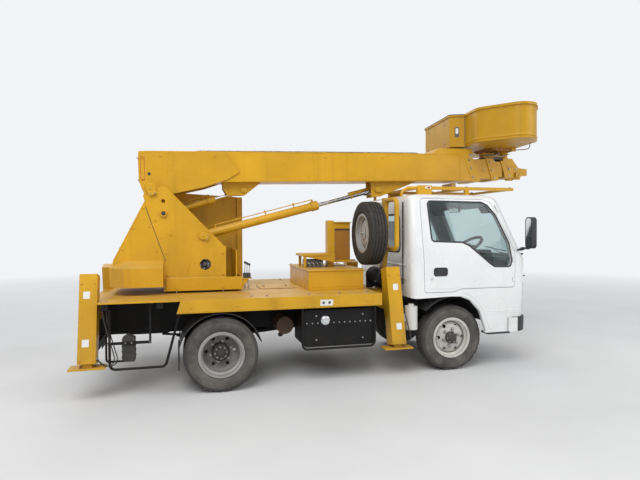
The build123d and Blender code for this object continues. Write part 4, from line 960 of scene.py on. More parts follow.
# Seals, wipers and the pressed lines seen from ahead and behind
from_ahead, from_behind = Vector(AFT), Vector(FORE)
front_skin = Skin("cab_shell", "cab_glass", "front_lamps")
face = Piece("cab_front_trim", "chassis", black_rubber, black_plastic, paint_white, steel)
screen_rim = rounded(grown(WINDSCREEN, 0.010), 0.060, 5)
trace(face, cab_skin, at_station(AHEAD_OF_CAB, screen_rim), from_ahead, 0.06, 0.024, 0.004, 0, True)
rear_rim = rounded(grown(REAR_WINDOW, 0.010), 0.060, 5)
trace(face, cab_skin, at_station(BEHIND_CAB, rear_rim), from_behind, 0.06, 0.022, 0.005, 0, True)
for pivot_y, tip_y, tip_z in ((-0.420, 0.020, 1.330), (0.240, 0.630, 1.345)):
    foot, out = cab_skin.meet(at(AHEAD_OF_CAB, pivot_y, 1.225), from_ahead)
    face.lathe(foot, out, [(-0.002, 0), (-0.002, 0.017), (0.014, 0.015), (0.019, 0.010), (0.019, 0)], 20, 1)
    arm = front_skin.route(
        at_station(
            AHEAD_OF_CAB, ((pivot_y, 1.225), ((pivot_y + tip_y) / 2 + 0.03, (1.225 + tip_z) / 2 + 0.012))
        ), from_ahead, 0.05
    )
    face.tube(curved([place + normal * 0.017 for place, normal in arm], 2), 0.0055, 1, 8)
    blade = front_skin.route(
        at_station(AHEAD_OF_CAB, ((pivot_y + 0.02, 1.288), (tip_y, tip_z))), from_ahead, 0.05
    )
    face.tube([place + normal * 0.011 for place, normal in blade], 0.0045, 1, 6)
    face.tube([place + normal * 0.004 for place, normal in blade], 0.0036, 0, 6)
for y_reach, z in ((0.800, 1.235), (0.560, 0.985)):
    trace(
        face, cab_skin, at_station(AHEAD_OF_CAB, ((-y_reach, z), (y_reach, z))), from_ahead, 0.05, 0.008,
        0.004, 2
    )
frame_rim = rounded([(-0.455, 0.582), (0.455, 0.582), (0.455, 0.812), (-0.455, 0.812)], 0.03, 5)
trace(face, cab_skin, at_station(AHEAD_OF_CAB, frame_rim), from_ahead, 0.06, 0.016, 0.006, 1, True)
for z in (0.648, 0.698, 0.748):
    trace(
        face, cab_skin, at_station(AHEAD_OF_CAB, ((-0.402, z), (0.402, z))), from_ahead, 0.08, 0.010, 0.007, 1
    )
for y in (-0.755, 0.755):
    for z in (1.005, 1.245):
        grip = cab_skin.route(at_station(AHEAD_OF_CAB, ((y * 0.93, z), (y * 0.78, z))), from_ahead, 0.03)
        face.tube(
            filleted([grip[0][0]] + [p + n * 0.030 for p, n in (grip[0], grip[-1])] + [grip[-1][0]], 0.02),
            0.007, 1, 8
        )
for z in (1.000, 1.150):
    trace(
        face, cab_skin, at_station(BEHIND_CAB, ((-0.700, z), (0.700, z))), from_behind, 0.10, 0.024, 0.007, 2
    )
face.build(0.0006)

# Lamps: fluted skins over the lenses, whose material shows the reflector bowls, and chrome rims round them
LAMP_PLACES = (("headlamp", 0.520, 0.745, 0.600, 0.760), ("indicator", 0.590, 0.775, 0.800, 0.940))
lamp_skin = Skin("front_lamps")


def fluted_lens(piece, low, high, material, pitch):
    """Thin ribbed skin laid over a lamp's glass."""
    columns = max(8, round(abs(high[0] - low[0]) / 0.004))
    rows = 10
    loops = []
    for row in range(rows + 1):
        z = low[1] + (high[1] - low[1]) * row / rows
        loop = []
        for column in range(columns + 1):
            y = low[0] + (high[0] - low[0]) * column / columns
            hit = lamp_skin.meet(at(AHEAD_OF_CAB, y, z), from_ahead)
            if hit:
                swell = 0.0012 * (1 + sin(2 * pi * y / pitch))
                edge = row in (0, rows) or column in (0, columns)
                loop.append(hit[0] + hit[1] * (-0.0005 if edge else 0.0014 + swell))
        if len(loop) == columns + 1:
            loops.append(loop)
    piece.strip(loops, material, False)


for side_name, hand in (("right", -1), ("left", 1)):
    lamp = Piece(f"lamp_{side_name}", "chassis", lamp_white, lamp_orange, chrome, black_plastic)
    for name, inner, outer, low, high in LAMP_PLACES:
        a, b = sorted((hand * (inner + 0.004), hand * (outer - 0.004)))
        fluted_lens(lamp, (a, low + 0.004), (b, high - 0.004), 0 if name == "headlamp" else 1, 0.013)
        rim = rounded(
            [
                (a - 0.006, low - 0.002), (b + 0.006, low - 0.002), (b + 0.006, high + 0.002),
                (a - 0.006, high + 0.002)
            ], 0.012, 4
        )
        trace(lamp, cab_skin, at_station(AHEAD_OF_CAB, rim), from_ahead, 0.03, 0.011, 0.0065, 2, True)
    lamp.build()

# Mirrors: glass in the back of each housing and a clamp at the arm's foot
for side_name, hand in (("right", -1), ("left", 1)):
    mirror = Piece(f"mirror_glass_{side_name}", "chassis", mirror_silver, black_plastic)
    mirror_skin = Skin("mirrors")
    centre = at(0, hand * 1.028, 1.500)
    plate(mirror, mirror_skin, card(centre, LEFT, 0.094, 0.316, 0.032), from_behind, 0.0012, 0)
    rim = card(centre, LEFT, 0.102, 0.326, 0.035)
    trace(mirror, mirror_skin, rim, from_behind, 0.05, 0.006, 0.005, 1, True)
    mirror.tube(at_side(hand * 0.980, ((3.305, 1.395), (3.305, 1.318))), 0.017, 1, 14)
    mirror.tube(at_station(3.300, ((hand * 0.860, 1.316), (hand * 0.905, 1.327))), 0.019, 1, 14)
    mirror.build(0.0006)

# What shows through the glass
room = Piece("cab_fittings", "chassis", black_plastic, mirror_silver, grey_plastic, steel)
room.tube(filleted(at_side(0.02, ((3.045, 1.842), (3.020, 1.800), (2.985, 1.790))), 0.01), 0.006, 0, 8)
tilt = Matrix.Translation(at(2.975, 0.02, 1.782)) @ Matrix.Rotation(radians(-12), 4, "Y")
room.prism(
    [
        tilt @ Vector((-0.014, y, z))
        for y, z in (
            (-0.115, -0.030), (0.115, -0.030), (0.122, 0.0), (0.112, 0.032), (-0.112, 0.032), (-0.122, 0.0)
        )
    ], tilt.to_3x3() @ Vector((0.022, 0, 0))
)
room.prism(
    [
        tilt @ Vector((-0.0155, y, z))
        for y, z in (
            (-0.108, -0.024), (0.108, -0.024), (0.114, 0.0), (0.105, 0.026), (-0.105, 0.026), (-0.114, 0.0)
        )
    ], tilt.to_3x3() @ Vector((0.002, 0, 0)), 1
)
room.prism(
    at_station(2.985, ((-0.56, 1.235), (-0.27, 1.235), (-0.30, 1.305), (-0.53, 1.305))), (0.15, 0, 0), 0
)
for y in (-0.49, -0.34):
    room.lathe(
        at(2.984, y, 1.270), AFT,
        [(0, 0), (0, 0.030), (0.004, 0.030), (0.004, 0.026), (0.001, 0.024), (0.001, 0)], 24, 2
    )
gear = [at(2.760, 0.045, 0.890), at(2.745, 0.040, 1.080), at(2.700, 0.030, 1.165)]
room.tube(curved(gear, 5), 0.008, 3, 8)
room.lathe(gear[0], UP, [(0, 0.055), (0.030, 0.045), (0.060, 0.024), (0.100, 0.014), (0.102, 0)], 20, 0)
room.lathe(
    gear[-1] - Vector((0, 0, 0.012)), (-0.3, 0, 1),
    [(0, 0.010), (0.008, 0.020), (0.026, 0.024), (0.042, 0.017), (0.048, 0)], 18, 0
)
for y, z in ((-0.56, 0.93), (-0.43, 0.93), (-0.29, 0.92)):
    room.tube(at_side(y, ((3.050, z + 0.160), (2.985, z + 0.020))), 0.007, 3, 8)
    room.box(at(2.962, y - 0.028, z - 0.020), at(2.982, y + 0.028, z + 0.045), 0)
for y in (-0.62, 0.60):
    room.prism(
        [
            at(3.005, y - 0.16, 1.800), at(3.005, y + 0.16, 1.800), at(3.050, y + 0.16, 1.725),
            at(3.050, y - 0.16, 1.725)
        ], (0.014, 0, 0.006), 2
    )
room.build(0.003)


# Seats: modelled foam cushions with sewn channels stand for the plain CAD blocks
SEAT_SPANS = ((-0.700, -0.330), (-0.290, 0.130), (0.250, 0.700))
SEAT_FLOOR = 0.885
PINCH = 0.035


def foam(name, centre, size, axes, crown, channels):
    """Crowned cushion: swelling face, sides pulled in between the corners, channels pressed across it."""
    long_axis, wide_axis, face_axis = axes
    count = (18, 22, 5)
    points, index = [], {}
    for i in range(count[0] + 1):
        for j in range(count[1] + 1):
            for k in range(count[2] + 1):
                if 0 < i < count[0] and 0 < j < count[1] and 0 < k < count[2]:
                    continue
                u, v, w = 2 * i / count[0] - 1, 2 * j / count[1] - 1, 2 * k / count[2] - 1
                a, b, c = u, v, w
                corner = abs(u) ** 6 * abs(v) ** 6
                a *= 1 - PINCH * (1 - v * v) * (1 - w * w) - 0.05 * abs(v) ** 8 - 0.10 * abs(w) ** 6
                b *= 1 - PINCH * (1 - u * u) * (1 - w * w) - 0.05 * abs(u) ** 8 - 0.08 * abs(w) ** 6
                rise = crown * (1 - u ** 4) * (1 - v ** 4) * (1 if w > 0 else 0.3)
                for channel in channels:
                    rise -= 0.16 * crown * 2.718 ** (-((u - channel) / 0.035) ** 2) * (1 if w > 0 else 0)
                c = c * (1 - 0.12 * corner) * 0.92 + (
                    rise if w > 0 else -rise * 0.4
                ) / max(size[2], 0.01) * (abs(w) > 0.99)
                index[i, j, k] = len(points)
                points.append(
                    Vector(
                        centre
                    ) + long_axis * a * size[0] + wide_axis * b * size[1] + face_axis * c * size[2]
                )
    faces = []
    for axis in range(3):
        p, q = [n for n in range(3) if n != axis]
        for level in (0, count[axis]):
            for s in range(count[p]):
                for t in range(count[q]):
                    corner_keys = []
                    for ds, dt in ((0, 0), (1, 0), (1, 1), (0, 1)):
                        key = [0, 0, 0]
                        key[axis], key[p], key[q] = level, s + ds, t + dt
                        corner_keys.append(index[tuple(key)])
                    faces.append(tuple(corner_keys))
    pad = Piece(name, "chassis", seat_cloth)
    pad.add(points, faces)
    thing = pad.build(0.0, "seat_cloth")
    for modifier in list(thing.modifiers):
        thing.modifiers.remove(modifier)
    for face_ in thing.data.polygons:
        face_.use_smooth = True
    round_off = thing.modifiers.new("subdivision", "SUBSURF")
    round_off.levels = round_off.render_levels = 1
    return thing


forward, leftward, upward = Vector(FORE), Vector(LEFT), Vector(UP)
lean_back = Vector((-0.18, 0, 1)).normalized()
facing = Vector((1, 0, 0.18)).normalized()
for number, (low, high) in enumerate(SEAT_SPANS):
    middle, half = (low + high) / 2, (high - low) / 2
    cushion = foam(
        f"seat_cushion_{number}", at(2.430, middle, 1.145), (0.222, half - 0.008, 0.066),
        (forward, leftward, upward), 0.030, (-0.45, 0.0, 0.45)
    )
    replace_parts(cushion, "seats")
    foam(
        f"seat_back_{number}", at(2.165, middle, 1.400), (0.245, half - 0.012, 0.052),
        (lean_back, leftward, facing), 0.024, (-0.5, -0.1, 0.3)
    )
    if number != 1:
        foam(
            f"headrest_{number}", at(2.118, middle, 1.722), (0.070, 0.120, 0.040),
            (lean_back, leftward, facing), 0.014, ()
        )
    pan = Piece(f"seat_base_{number}", "chassis", black_plastic, steel, seat_cloth)
    pan.box(at(2.215, low + 0.020, SEAT_FLOOR), at(2.640, high - 0.020, 1.075), 0)
    pan.box(at(2.205, low + 0.010, 1.060), at(2.655, high - 0.010, 1.084), 0)
    pan.prism(
        at_side(low + 0.02, ((2.080, 1.120), (2.140, 1.120), (2.090, 1.640), (2.062, 1.640))),
        (0, high - low - 0.04, 0), 0
    )
    if number != 1:
        for y in (middle - 0.055, middle + 0.055):
            pan.tube(at_side(y, ((2.125, 1.610), (2.115, 1.700))), 0.006, 1, 8)
    pan.tube(
        filleted(at_side(high - 0.004, ((2.20, 1.100), (2.20, 1.160), (2.14, 1.300))), 0.03), 0.009, 1, 8
    )
    pan.build(0.006)
belts = Piece("seat_belts", "chassis", black_rubber, steel)
for hand in (-1, 1):
    strap = [
        at(2.060, hand * 0.735, 1.700), at(2.085, hand * 0.730, 1.500), at(2.110, hand * 0.722, 1.250),
        at(2.140, hand * 0.715, 0.960)
    ]
    loops = [
        [
            p + Vector((-0.022, 0, 0)), p + Vector((0.022, 0, 0)), p + Vector((0.022, 0.0015, 0)),
            p + Vector((-0.022, 0.0015, 0))
        ] for p in curved(strap, 4)
    ]
    belts.strip(loops, 0)
    belts.box(at(2.030, hand * 0.735 - 0.010, 1.690), at(2.090, hand * 0.735 + 0.010, 1.730), 1)
    belts.box(at(2.105, hand * 0.715 - 0.022, 0.900), at(2.185, hand * 0.715 + 0.022, 0.985), 0)
belts.build(0.002)


# Boom: seams, pins, bolts, pipes and the gear under the bucket
PIVOT = (-0.660, 1.975)
BOOM_TILT = radians(1.4)


def boom_at(along, y, above):
    """Point given in the boom's frame, whose origin is the pivot."""
    return at(
        PIVOT[0] + along * cos(BOOM_TILT) - above * sin(BOOM_TILT), y,
        PIVOT[1] + along * sin(BOOM_TILT) + above * cos(BOOM_TILT)
    )


LIFT_FOOT, LIFT_SLOPE = (-0.142, 1.483), radians(14.7076)
LEVEL_FOOT, LEVEL_SLOPE = (-0.538, 1.715), radians(17.8241)
BOOM_AXIS = (boom_at(1, 0, 0) - boom_at(0, 0, 0)).normalized()
BOOM_UP = (boom_at(0, 0, 1) - boom_at(0, 0, 0)).normalized()


def pin_end(piece, centre, axis, radius, plate_along, material=0, dark=1):
    """End of a pivot pin: flange, keeper plate with two bolts, grease nipple."""
    centre, axis = Vector(centre), Vector(axis).normalized()
    along = Vector(plate_along).normalized()
    above = axis.cross(along)
    piece.lathe(
        centre, axis, [(-0.001, 0), (-0.001, radius), (0.005, radius), (0.008, radius - 0.004), (0.008, 0)],
        32, material
    )
    piece.lathe(
        centre + axis * 0.008, axis, [(0, 0), (0, radius * 0.55), (0.003, radius * 0.52), (0.003, 0)], 24,
        material
    )
    middle = centre + along * radius * 1.02 + axis * 0.004
    half_long, half_wide = radius * 0.42, radius * 0.85
    piece.prism(
        [
            middle - along * half_long - above * half_wide, middle + along * half_long - above * half_wide,
            middle + along * half_long + above * half_wide, middle - along * half_long + above * half_wide
        ], axis * 0.006, material
    )
    for share in (-0.55, 0.55):
        piece.bolt(
            middle + along * half_long * 0.35 + above * half_wide * share + axis * 0.006, axis, radius * 0.22,
            dark
        )
    piece.lathe(
        centre + axis * 0.011, axis,
        [(0, 0.005), (0.006, 0.005), (0.008, 0.003), (0.011, 0.0035), (0.012, 0)], 10, dark
    )


boom_skin = Skin("boom_base", "boom_brackets")
base = Piece("boom_base_trim", "boom_base", paint_yellow, steel, black_rubber, dark_plastic_and_shade, orange_outline)
for hand in (-1, 1):
    inward, out = Vector((0, -hand, 0)), Vector((0, hand, 0))
    far = hand * BESIDE_BOOM
    ear = [boom_at(x, far, z) for x, z in ((0.781, 0.383), (0.916, 0.178), (0.790, 0.100), (0.545, 0.022))]
    trace(base, boom_skin, ear, inward, 0.05, 0.007, 0.003)
    weld = boom_skin.route([boom_at(3.605, far, 0.076), boom_at(3.605, far, 0.394)], inward, 0.05)
    bead(base, weld, 0.009, 0.004)
    for above in (0.080, 0.392):
        trace(
            base, boom_skin, [boom_at(0.95, far, above), boom_at(3.64, far, above)], inward, 0.12, 0.006,
            0.003
        )
    # Dark disc inside the ring: painted shade in the hole
    hole, _ = boom_skin.meet(boom_at(-0.018, far, 0.158), inward)
    base.lathe(
        hole, out,
        [(-0.001, 0.0), (-0.001, 0.016), (0.004, 0.016), (0.004, 0.011), (0.0005, 0.010), (0.0005, 0)], 20, 3
    )
    rear_cover = rounded([(-0.100, 0.090), (-0.062, 0.090), (-0.062, 0.338), (-0.100, 0.338)], 0.012, 3)
    trace(base, boom_skin, [boom_at(p.x, far, p.y) for p in rear_cover], inward, 0.04, 0.006, 0.0025, 4, True)
    for above in (0.105, 0.323):
        bolt_on(base, boom_skin, boom_at(-0.081, far, above), inward, 0.016, 0, out)
    for along in (0.10, 0.66, 1.9, 2.6):
        bolt_on(base, boom_skin, boom_at(along, far, 0.345), inward, 0.015, 0, out)
    for above in (0.118, 0.230, 0.325):
        bolt_on(base, boom_skin, boom_at(3.800 - 0.25 * (above - 0.05), far, above), inward, 0.020, 1, out)
    for along, above in ((0.960, -0.014), (2.550, -0.021)):
        head = boom_at(along, hand * (0.090 if along < 2 else 0.105), above)
        pin_end(base, head + out * 0.001, out, 0.026 if along < 2 else 0.034, BOOM_AXIS, 0, 1)
back = [(-0.140, 0.085), (0.140, 0.085), (0.140, 0.350), (-0.140, 0.350)]
plate(base, boom_skin, [boom_at(BEHIND_BOOM, p.x, p.y) for p in rounded(back, 0.03, 3)], BOOM_AXIS, 0.004)
for y in (-0.120, 0, 0.120):
    for above in (0.104, 0.332):
        bolt_on(base, boom_skin, boom_at(BEHIND_BOOM, y, above), BOOM_AXIS, 0.018, 1, lift=0.004)
hatch = rounded([(1.30, -0.11), (1.62, -0.11), (1.62, 0.11), (1.30, 0.11)], 0.03, 3)
plate(base, boom_skin, [boom_at(p.x, p.y, OVER_BOOM) for p in hatch], -BOOM_UP, 0.003)
for x, y in ((1.325, -0.085), (1.595, -0.085), (1.325, 0.085), (1.595, 0.085)):
    bolt_on(base, boom_skin, boom_at(x, y, OVER_BOOM), -BOOM_UP, 0.014, 1, lift=0.003)
for along in (0.55, 1.05, 1.9, 2.4, 2.9):
    spot = boom_skin.meet(boom_at(along, -0.115, OVER_BOOM), -BOOM_UP)
    base.box(spot[0] - Vector((0.02, 0.012, 0.001)), spot[0] + Vector((0.02, 0.012, 0.010)), 0)
pipe = [boom_at(x, -0.115, z) for x, z in ((0.42, 0.404), (0.50, 0.414), (3.05, 0.414), (3.10, 0.400))]
base.tube(filleted(pipe, 0.03), 0.006, 1, 8)
base.tube([p + Vector((0, 0.018, 0)) for p in filleted(pipe, 0.03)], 0.006, 1, 8)
base.build(0.0006)

mid_skin = Skin("boom_mid")
mid = Piece("boom_mid_trim", "boom_mid", paint_yellow, steel, black_rubber, dark_plastic_and_shade)
for hand in (-1, 1):
    inward, out = Vector((0, -hand, 0)), Vector((0, hand, 0))
    far = hand * BESIDE_BOOM
    spot, _ = mid_skin.meet(boom_at(3.953, far, 0.206), inward)
    mid.lathe(
        spot, out,
        [
            (-0.001, 0), (-0.001, 0.030), (0.004, 0.030), (0.006, 0.027), (0.006, 0.016), (0.003, 0.014),
            (0.003, 0)
        ], 28, 0
    )
    mid.bolt(spot + out * 0.003, out, 0.014, 1)
    for above in (0.105, 0.205, 0.305):
        bolt_on(mid, mid_skin, boom_at(4.100 - 0.295 * (above - 0.08), far, above), inward, 0.018, 1, out)
mid.build(0.0006)

tip_skin = Skin("boom_tip")
tip = Piece("boom_tip_trim", "boom_tip", paint_yellow, steel, black_rubber, dark_plastic_and_shade)
for hand in (-1, 1):
    inward, out = Vector((0, -hand, 0)), Vector((0, hand, 0))
    pin_end(tip, at(3.800, hand * 0.1262, 2.235), out, 0.034, -BOOM_AXIS, 0, 1)
    for along, above in ((4.330, 0.140), (4.330, 0.225), (4.430, 0.225)):
        bolt_on(tip, tip_skin, boom_at(along, hand * BESIDE_BOOM, above), inward, 0.018, 1, out)
tip.build(0.0006)

# Under the bucket: swing drive, valve block and formed steel pipes, all carried by the mount
UNDER = 2.440
drive = Piece("swing_drive", "bucket_mount", paint_yellow, steel, black_rubber, weld_grey)
drive.lathe(
    at(3.655, 0, UNDER), UP,
    [
        (0, 0), (0, 0.062), (0.012, 0.062), (0.016, 0.054), (0.060, 0.054), (0.066, 0.060), (0.090, 0.060),
        (0.096, 0.052), (0.104, 0.0455)
    ], 32, 0
)
drive.box(at(3.480, -0.045, 2.455), at(3.590, 0.050, 2.486), 0)
drive.box(at(3.330, -0.070, 2.442), at(3.480, 0.030, 2.505), 0)
for number in range(4):
    x = 3.352 + 0.034 * number
    drive.lathe(
        at(x, -0.070, 2.474), RIGHT, [(0, 0.011), (0.012, 0.011), (0.014, 0.007), (0.030, 0.007), (0.030, 0)],
        14, 1
    )
drive.box(at(3.300, -0.080, 2.425), at(3.600, 0.080, 2.440), 3)
for start, end, sag in (
    ((3.352, -0.100, 2.474), (3.520, -0.120, 2.500), 0.025),
    ((3.386, -0.100, 2.474), (3.700, -0.075, 2.500), 0.030),
    ((3.420, 0.030, 2.470), (3.620, 0.070, 2.490), 0.020),
    ((3.340, 0.030, 2.480), (3.640, 0.085, 2.460), 0.015)
):
    a, b = at(*start), at(*end)
    middle = a.lerp(b, 0.5) - Vector((0, 0, sag)) + Vector((0, 0.02 if start[1] > 0 else -0.02, 0))
    drive.tube(curved([a, a.lerp(middle, 0.6), middle, middle.lerp(b, 0.6), b], 4), 0.006, 1, 8)
drive.build(0.001)


# Turntable: pins, seams, valve gear, pipes and the levers at its front corner
table_skin = Skin("turntable_frame")
cover_skin = Skin("counterweight")
table = Piece("turntable_trim", "turntable", paint_yellow, steel, black_rubber, dark_plastic_and_shade, weld_grey)
for hand in (-1, 1):
    out = Vector((0, hand, 0))
    inward = -out
    pin_end(table, at(PIVOT[0], hand * 0.3222, PIVOT[1]), out, 0.050, (0.35, 0, -1), 0, 1)
    pin_end(table, at(LIFT_FOOT[0], hand * 0.3222, LIFT_FOOT[1]), out, 0.040, (1, 0, -0.2), 0, 1)
    ring, radius = at(LEVEL_FOOT[0], hand * 0.3215, LEVEL_FOOT[1]), 0.034
    table.lathe(
        ring, out,
        [
            (0, radius - 0.012), (0, radius), (0.007, radius - 0.002), (0.007, radius - 0.010),
            (0, radius - 0.012)
        ], 28, 0
    )
    # Dark disc inside the ring: painted shade in the hole
    table.lathe(
        ring, out, [(0.0005, 0), (0.0005, radius - 0.012), (0.002, radius - 0.013), (0.002, 0)], 24, 3
    )
    for x, z in ((-0.505, 1.075), (0.060, 1.075), (0.060, 1.300), (-0.470, 1.500), (-0.610, 1.900)):
        bolt_on(table, table_skin, at(x, hand * BESIDE_BOOM, z), inward, 0.018, 0, out)
    foot = at_side(hand * BESIDE_BOOM, ((-0.300, 1.060), (-0.300, 1.110), (-0.265, 1.240)))
    trace(table, table_skin, foot, inward, 0.04, 0.006, 0.003)
    weld = [at(x, hand * 0.3045, 1.0455) for x in (-0.505, -0.3, -0.1, 0.09)]
    table.tube(weld, 0.0055, 0, 8)
    for x in (-0.415, 0.062):
        table.tube(at_side(hand * 0.334, ((x, 0.9145), (x, 0.8935))), 0.006, 1, 8)
        table.bolt(at(x, hand * 0.3405, 0.940), out, 0.016, 0)
for angle in range(0, 360, 30):
    turn = radians(angle + 8)
    spot = at(-0.150 + 0.285 * cos(turn), 0.285 * sin(turn), 0.930)
    table.bolt(spot, UP, 0.026, 1)
lip = at_height(1.0445, ((-0.509, -0.334), (0.256, -0.334), (0.256, 0.334), (-0.509, 0.334)))
table.tube(lip + [lip[0]], 0.0045, 0, 8)
for z in (1.30, 1.47, 1.64):
    x = -0.5415 - (z - 1.236) * 0.300
    bolt_on(table, table_skin, at(x + 0.045, -BESIDE_BOOM, z), RIGHT_FACE, 0.014, 0, RIGHT)
table.build(0.0008)

fold_skin = Skin("counterweight", "turntable_frame")
cover = Piece("cover_trim", "turntable", paint_yellow, steel, dark_plastic_and_shade, black_rubber)
for hand in (-1, 1):
    out = Vector((0, hand, 0))
    seam = at_side(hand * BESIDE_BOOM, ((-0.520, 1.222), (-0.590, 1.420), (-0.748, 1.878)))
    trace(cover, fold_skin, seam, -out, 0.05, 0.006, 0.002, 2)
    rear_line = at_side(hand * BESIDE_BOOM, ((-1.005, 1.262), (-0.880, 1.510), (-0.748, 1.770)))
    trace(cover, cover_skin, rear_line, -out, 0.05, 0.006, 0.0025)
    for x, z in ((-0.610, 1.330), (-0.680, 1.580), (-0.735, 1.770), (-0.940, 1.350), (-0.830, 1.560)):
        bolt_on(cover, cover_skin, at(x, hand * BESIDE_BOOM, z), -out, 0.014, 0, out)
back_way = Vector(FORE)
for z in (1.36, 1.56):
    for y in (-0.20, 0.20):
        bolt_on(cover, cover_skin, at(BEHIND_TRUCK, y, z), back_way, 0.016, 1)
for z in (1.02, 1.10):
    vent = at_station(BEHIND_TRUCK, ((-0.28, z), (0.28, z)))
    trace(cover, cover_skin, vent, back_way, 0.08, 0.014, 0.005, 0)
cover.build(0.0008)

# Gear between the cheeks: slew drive, valve block and formed steel pipes to both cylinders
gear = Piece("turntable_gear", "turntable", weld_grey, steel, black_rubber, dark_plastic_and_shade, cast_grey)
gear.lathe(
    at(-0.150, -0.195, 0.931), UP,
    [
        (0, 0), (0, 0.085), (0.02, 0.085), (0.03, 0.070), (0.14, 0.070), (0.15, 0.085), (0.17, 0.085),
        (0.18, 0.055), (0.31, 0.055), (0.32, 0.045), (0.32, 0)
    ], 32, 4
)
for number in range(6):
    turn = 2 * pi * number / 6
    gear.bolt(at(-0.150 + 0.075 * cos(turn), -0.195 + 0.075 * sin(turn), 1.101), UP, 0.018, 1)
gear.box(at(-0.10, -0.272, 1.145), at(0.04, -0.200, 1.225), 0)
for number in range(4):
    x = -0.085 + 0.034 * number
    gear.lathe(
        at(x, -0.272, 1.185), RIGHT, [(0, 0.012), (0.006, 0.012), (0.008, 0.009), (0.012, 0.009), (0.012, 0)],
        6, 1
    )
for start, end, rise in (
    ((-0.085, -0.236, 1.225), (-0.155, -0.085, 1.440), 0.05),
    ((-0.050, -0.236, 1.225), (-0.190, -0.080, 1.455), 0.09),
    ((-0.015, -0.225, 1.225), (-0.480, -0.120, 1.640), 0.06),
    ((0.020, -0.225, 1.225), (-0.500, -0.100, 1.660), 0.10)
):
    a, b = at(*start), at(*end)
    route = [
        a, a + Vector((0, 0, 0.06)), a.lerp(b, 0.5) + Vector((0, -0.02, rise)), b - Vector((0.01, 0, 0.05)), b
    ]
    gear.tube(curved(route, 5), 0.0075, 1, 8)
hole = at(-0.122, -0.240, 1.185)
gear.lathe(
    hole, RIGHT,
    [(-0.020, 0), (-0.020, 0.075), (0, 0.075), (0.006, 0.066), (0.006, 0.034), (0.012, 0.030), (0.012, 0)],
    36, 3
)
add_nuts(gear, hole + Vector((0, -0.006, 0)), RIGHT, 0.050, 6, 0.016, 1, 0.010)
gear.lathe(
    hole + Vector((0, -0.012, 0)), RIGHT, [(0, 0), (0, 0.026), (0.014, 0.024), (0.016, 0.020), (0.016, 0)], 6,
    0
)
gear.build(0.001)

levers = Piece("lever_bank", "turntable", dark_plastic_and_shade, steel, black_rubber, paint_yellow, lamp_red)
levers.box(at(0.214, -0.338, 1.020), at(0.368, -0.262, 1.030), 3)
for y in (-0.330, -0.276):
    levers.prism(at_side(y, ((0.264, 0.931), (0.330, 1.020), (0.264, 1.020))), (0, 0.008, 0), 3)
levers.box(at(0.276, -0.332, 1.030), at(0.352, -0.268, 1.082), 0)
for number in range(3):
    x = 0.290 + 0.024 * number
    tip = at(x + 0.004, -0.322 + 0.012 * number, 1.185 - 0.012 * number)
    levers.tube([at(x, -0.300, 1.080), tip], 0.0042, 1, 8)
    levers.lathe(
        tip - Vector((0, 0, 0.004)), UP,
        [(0, 0.004), (0.004, 0.011), (0.016, 0.013), (0.026, 0.010), (0.030, 0)], 14, 2
    )
for x in (0.284, 0.322):
    drop = [
        at(x, -0.306, 1.020), at(x + 0.004, -0.308, 0.985), at(x + 0.010, -0.312, 0.945),
        at(x + 0.004, -0.310, 0.915)
    ]
    levers.tube(curved(drop, 5), 0.007, 1, 8)
levers.build(0.0008)


# Pipes clipped along the two cylinders
def cylinder_trim(name, foot, slope, radius, length):
    """Pipes, ports, gland rings and clips on a barrel whose foot and slope are given."""
    axis = Vector((cos(slope), 0, sin(slope)))
    above = Vector((-sin(slope), 0, cos(slope)))
    side = Vector(RIGHT)
    base_point = at(foot[0], 0, foot[1])
    piece = Piece(f"{name}_pipes", f"{name}_barrel", paint_yellow, steel, black_rubber)
    for shift, start in ((0.016, 0.16), (-0.016, 0.22)):
        line = [
            base_point + axis * a + above * h + side * shift
            for a, h in (
                (start, radius), (start, radius + 0.030), (length - 0.045, radius + 0.030),
                (length - 0.045, radius + 0.006)
            )
        ]
        piece.tube(filleted(line, 0.022), 0.0055, 0, 8)
    for share in (0.30, 0.55, 0.80):
        middle = base_point + axis * (length * share) + above * (radius + 0.022)
        piece.prism(
            [
                middle - axis * 0.010 - side * 0.026, middle + axis * 0.010 - side * 0.026,
                middle + axis * 0.010 + side * 0.026, middle - axis * 0.010 + side * 0.026
            ], above * 0.020, 0
        )
        piece.bolt(middle + above * 0.020, above, 0.010, 1)
        piece.prism(
            [
                middle - axis * 0.006 - side * 0.006, middle + axis * 0.006 - side * 0.006,
                middle + axis * 0.006 + side * 0.006, middle - axis * 0.006 + side * 0.006
            ], above * -0.024, 0
        )
    piece.lathe(
        base_point + axis * (length + 0.0005), axis,
        [
            (0, radius - 0.012), (0, radius + 0.001), (0.010, radius - 0.002), (0.010, radius - 0.014),
            (0, radius - 0.012)
        ], 40, 0
    )
    piece.lathe(
        base_point + axis * (length - 0.074), axis,
        [(0, radius), (0.0, radius + 0.0105), (0.004, radius + 0.0105), (0.004, radius)], 40, 0
    )
    for at_length in (0.16, length - 0.045):
        port = base_point + axis * at_length + above * (radius - 0.004)
        piece.lathe(
            port, above, [(0, 0.016), (0.014, 0.016), (0.016, 0.012), (0.022, 0.012), (0.022, 0)], 18, 0
        )
    piece.build(0.0006)


cylinder_trim("lift", LIFT_FOOT, LIFT_SLOPE, 0.048, 1.360)
cylinder_trim("level", LEVEL_FOOT, LEVEL_SLOPE, 0.034, 0.560)


def rod_inner(name, foot, slope, radius, start, end):
    """Rest of a polished rod inside its barrel, with the piston at its end; it shows when the rod is out."""
    way = Vector((cos(slope), 0, sin(slope)))
    piece = Piece(f"{name}_rod_inner", f"{name}_rod", chrome, steel)
    reach = end - start
    piece.lathe(
        at(foot[0], 0, foot[1]) + way * start, way,
        [(0, 0), (0, radius - 0.004), (0.003, radius), (reach, radius)], 40, 0
    )
    piece.build(0.0)


rod_inner("lift", LIFT_FOOT, LIFT_SLOPE, 0.0238, 0.110, 1.020)
rod_inner("level", LEVEL_FOOT, LEVEL_SLOPE, 0.0168, 0.095, 0.225)

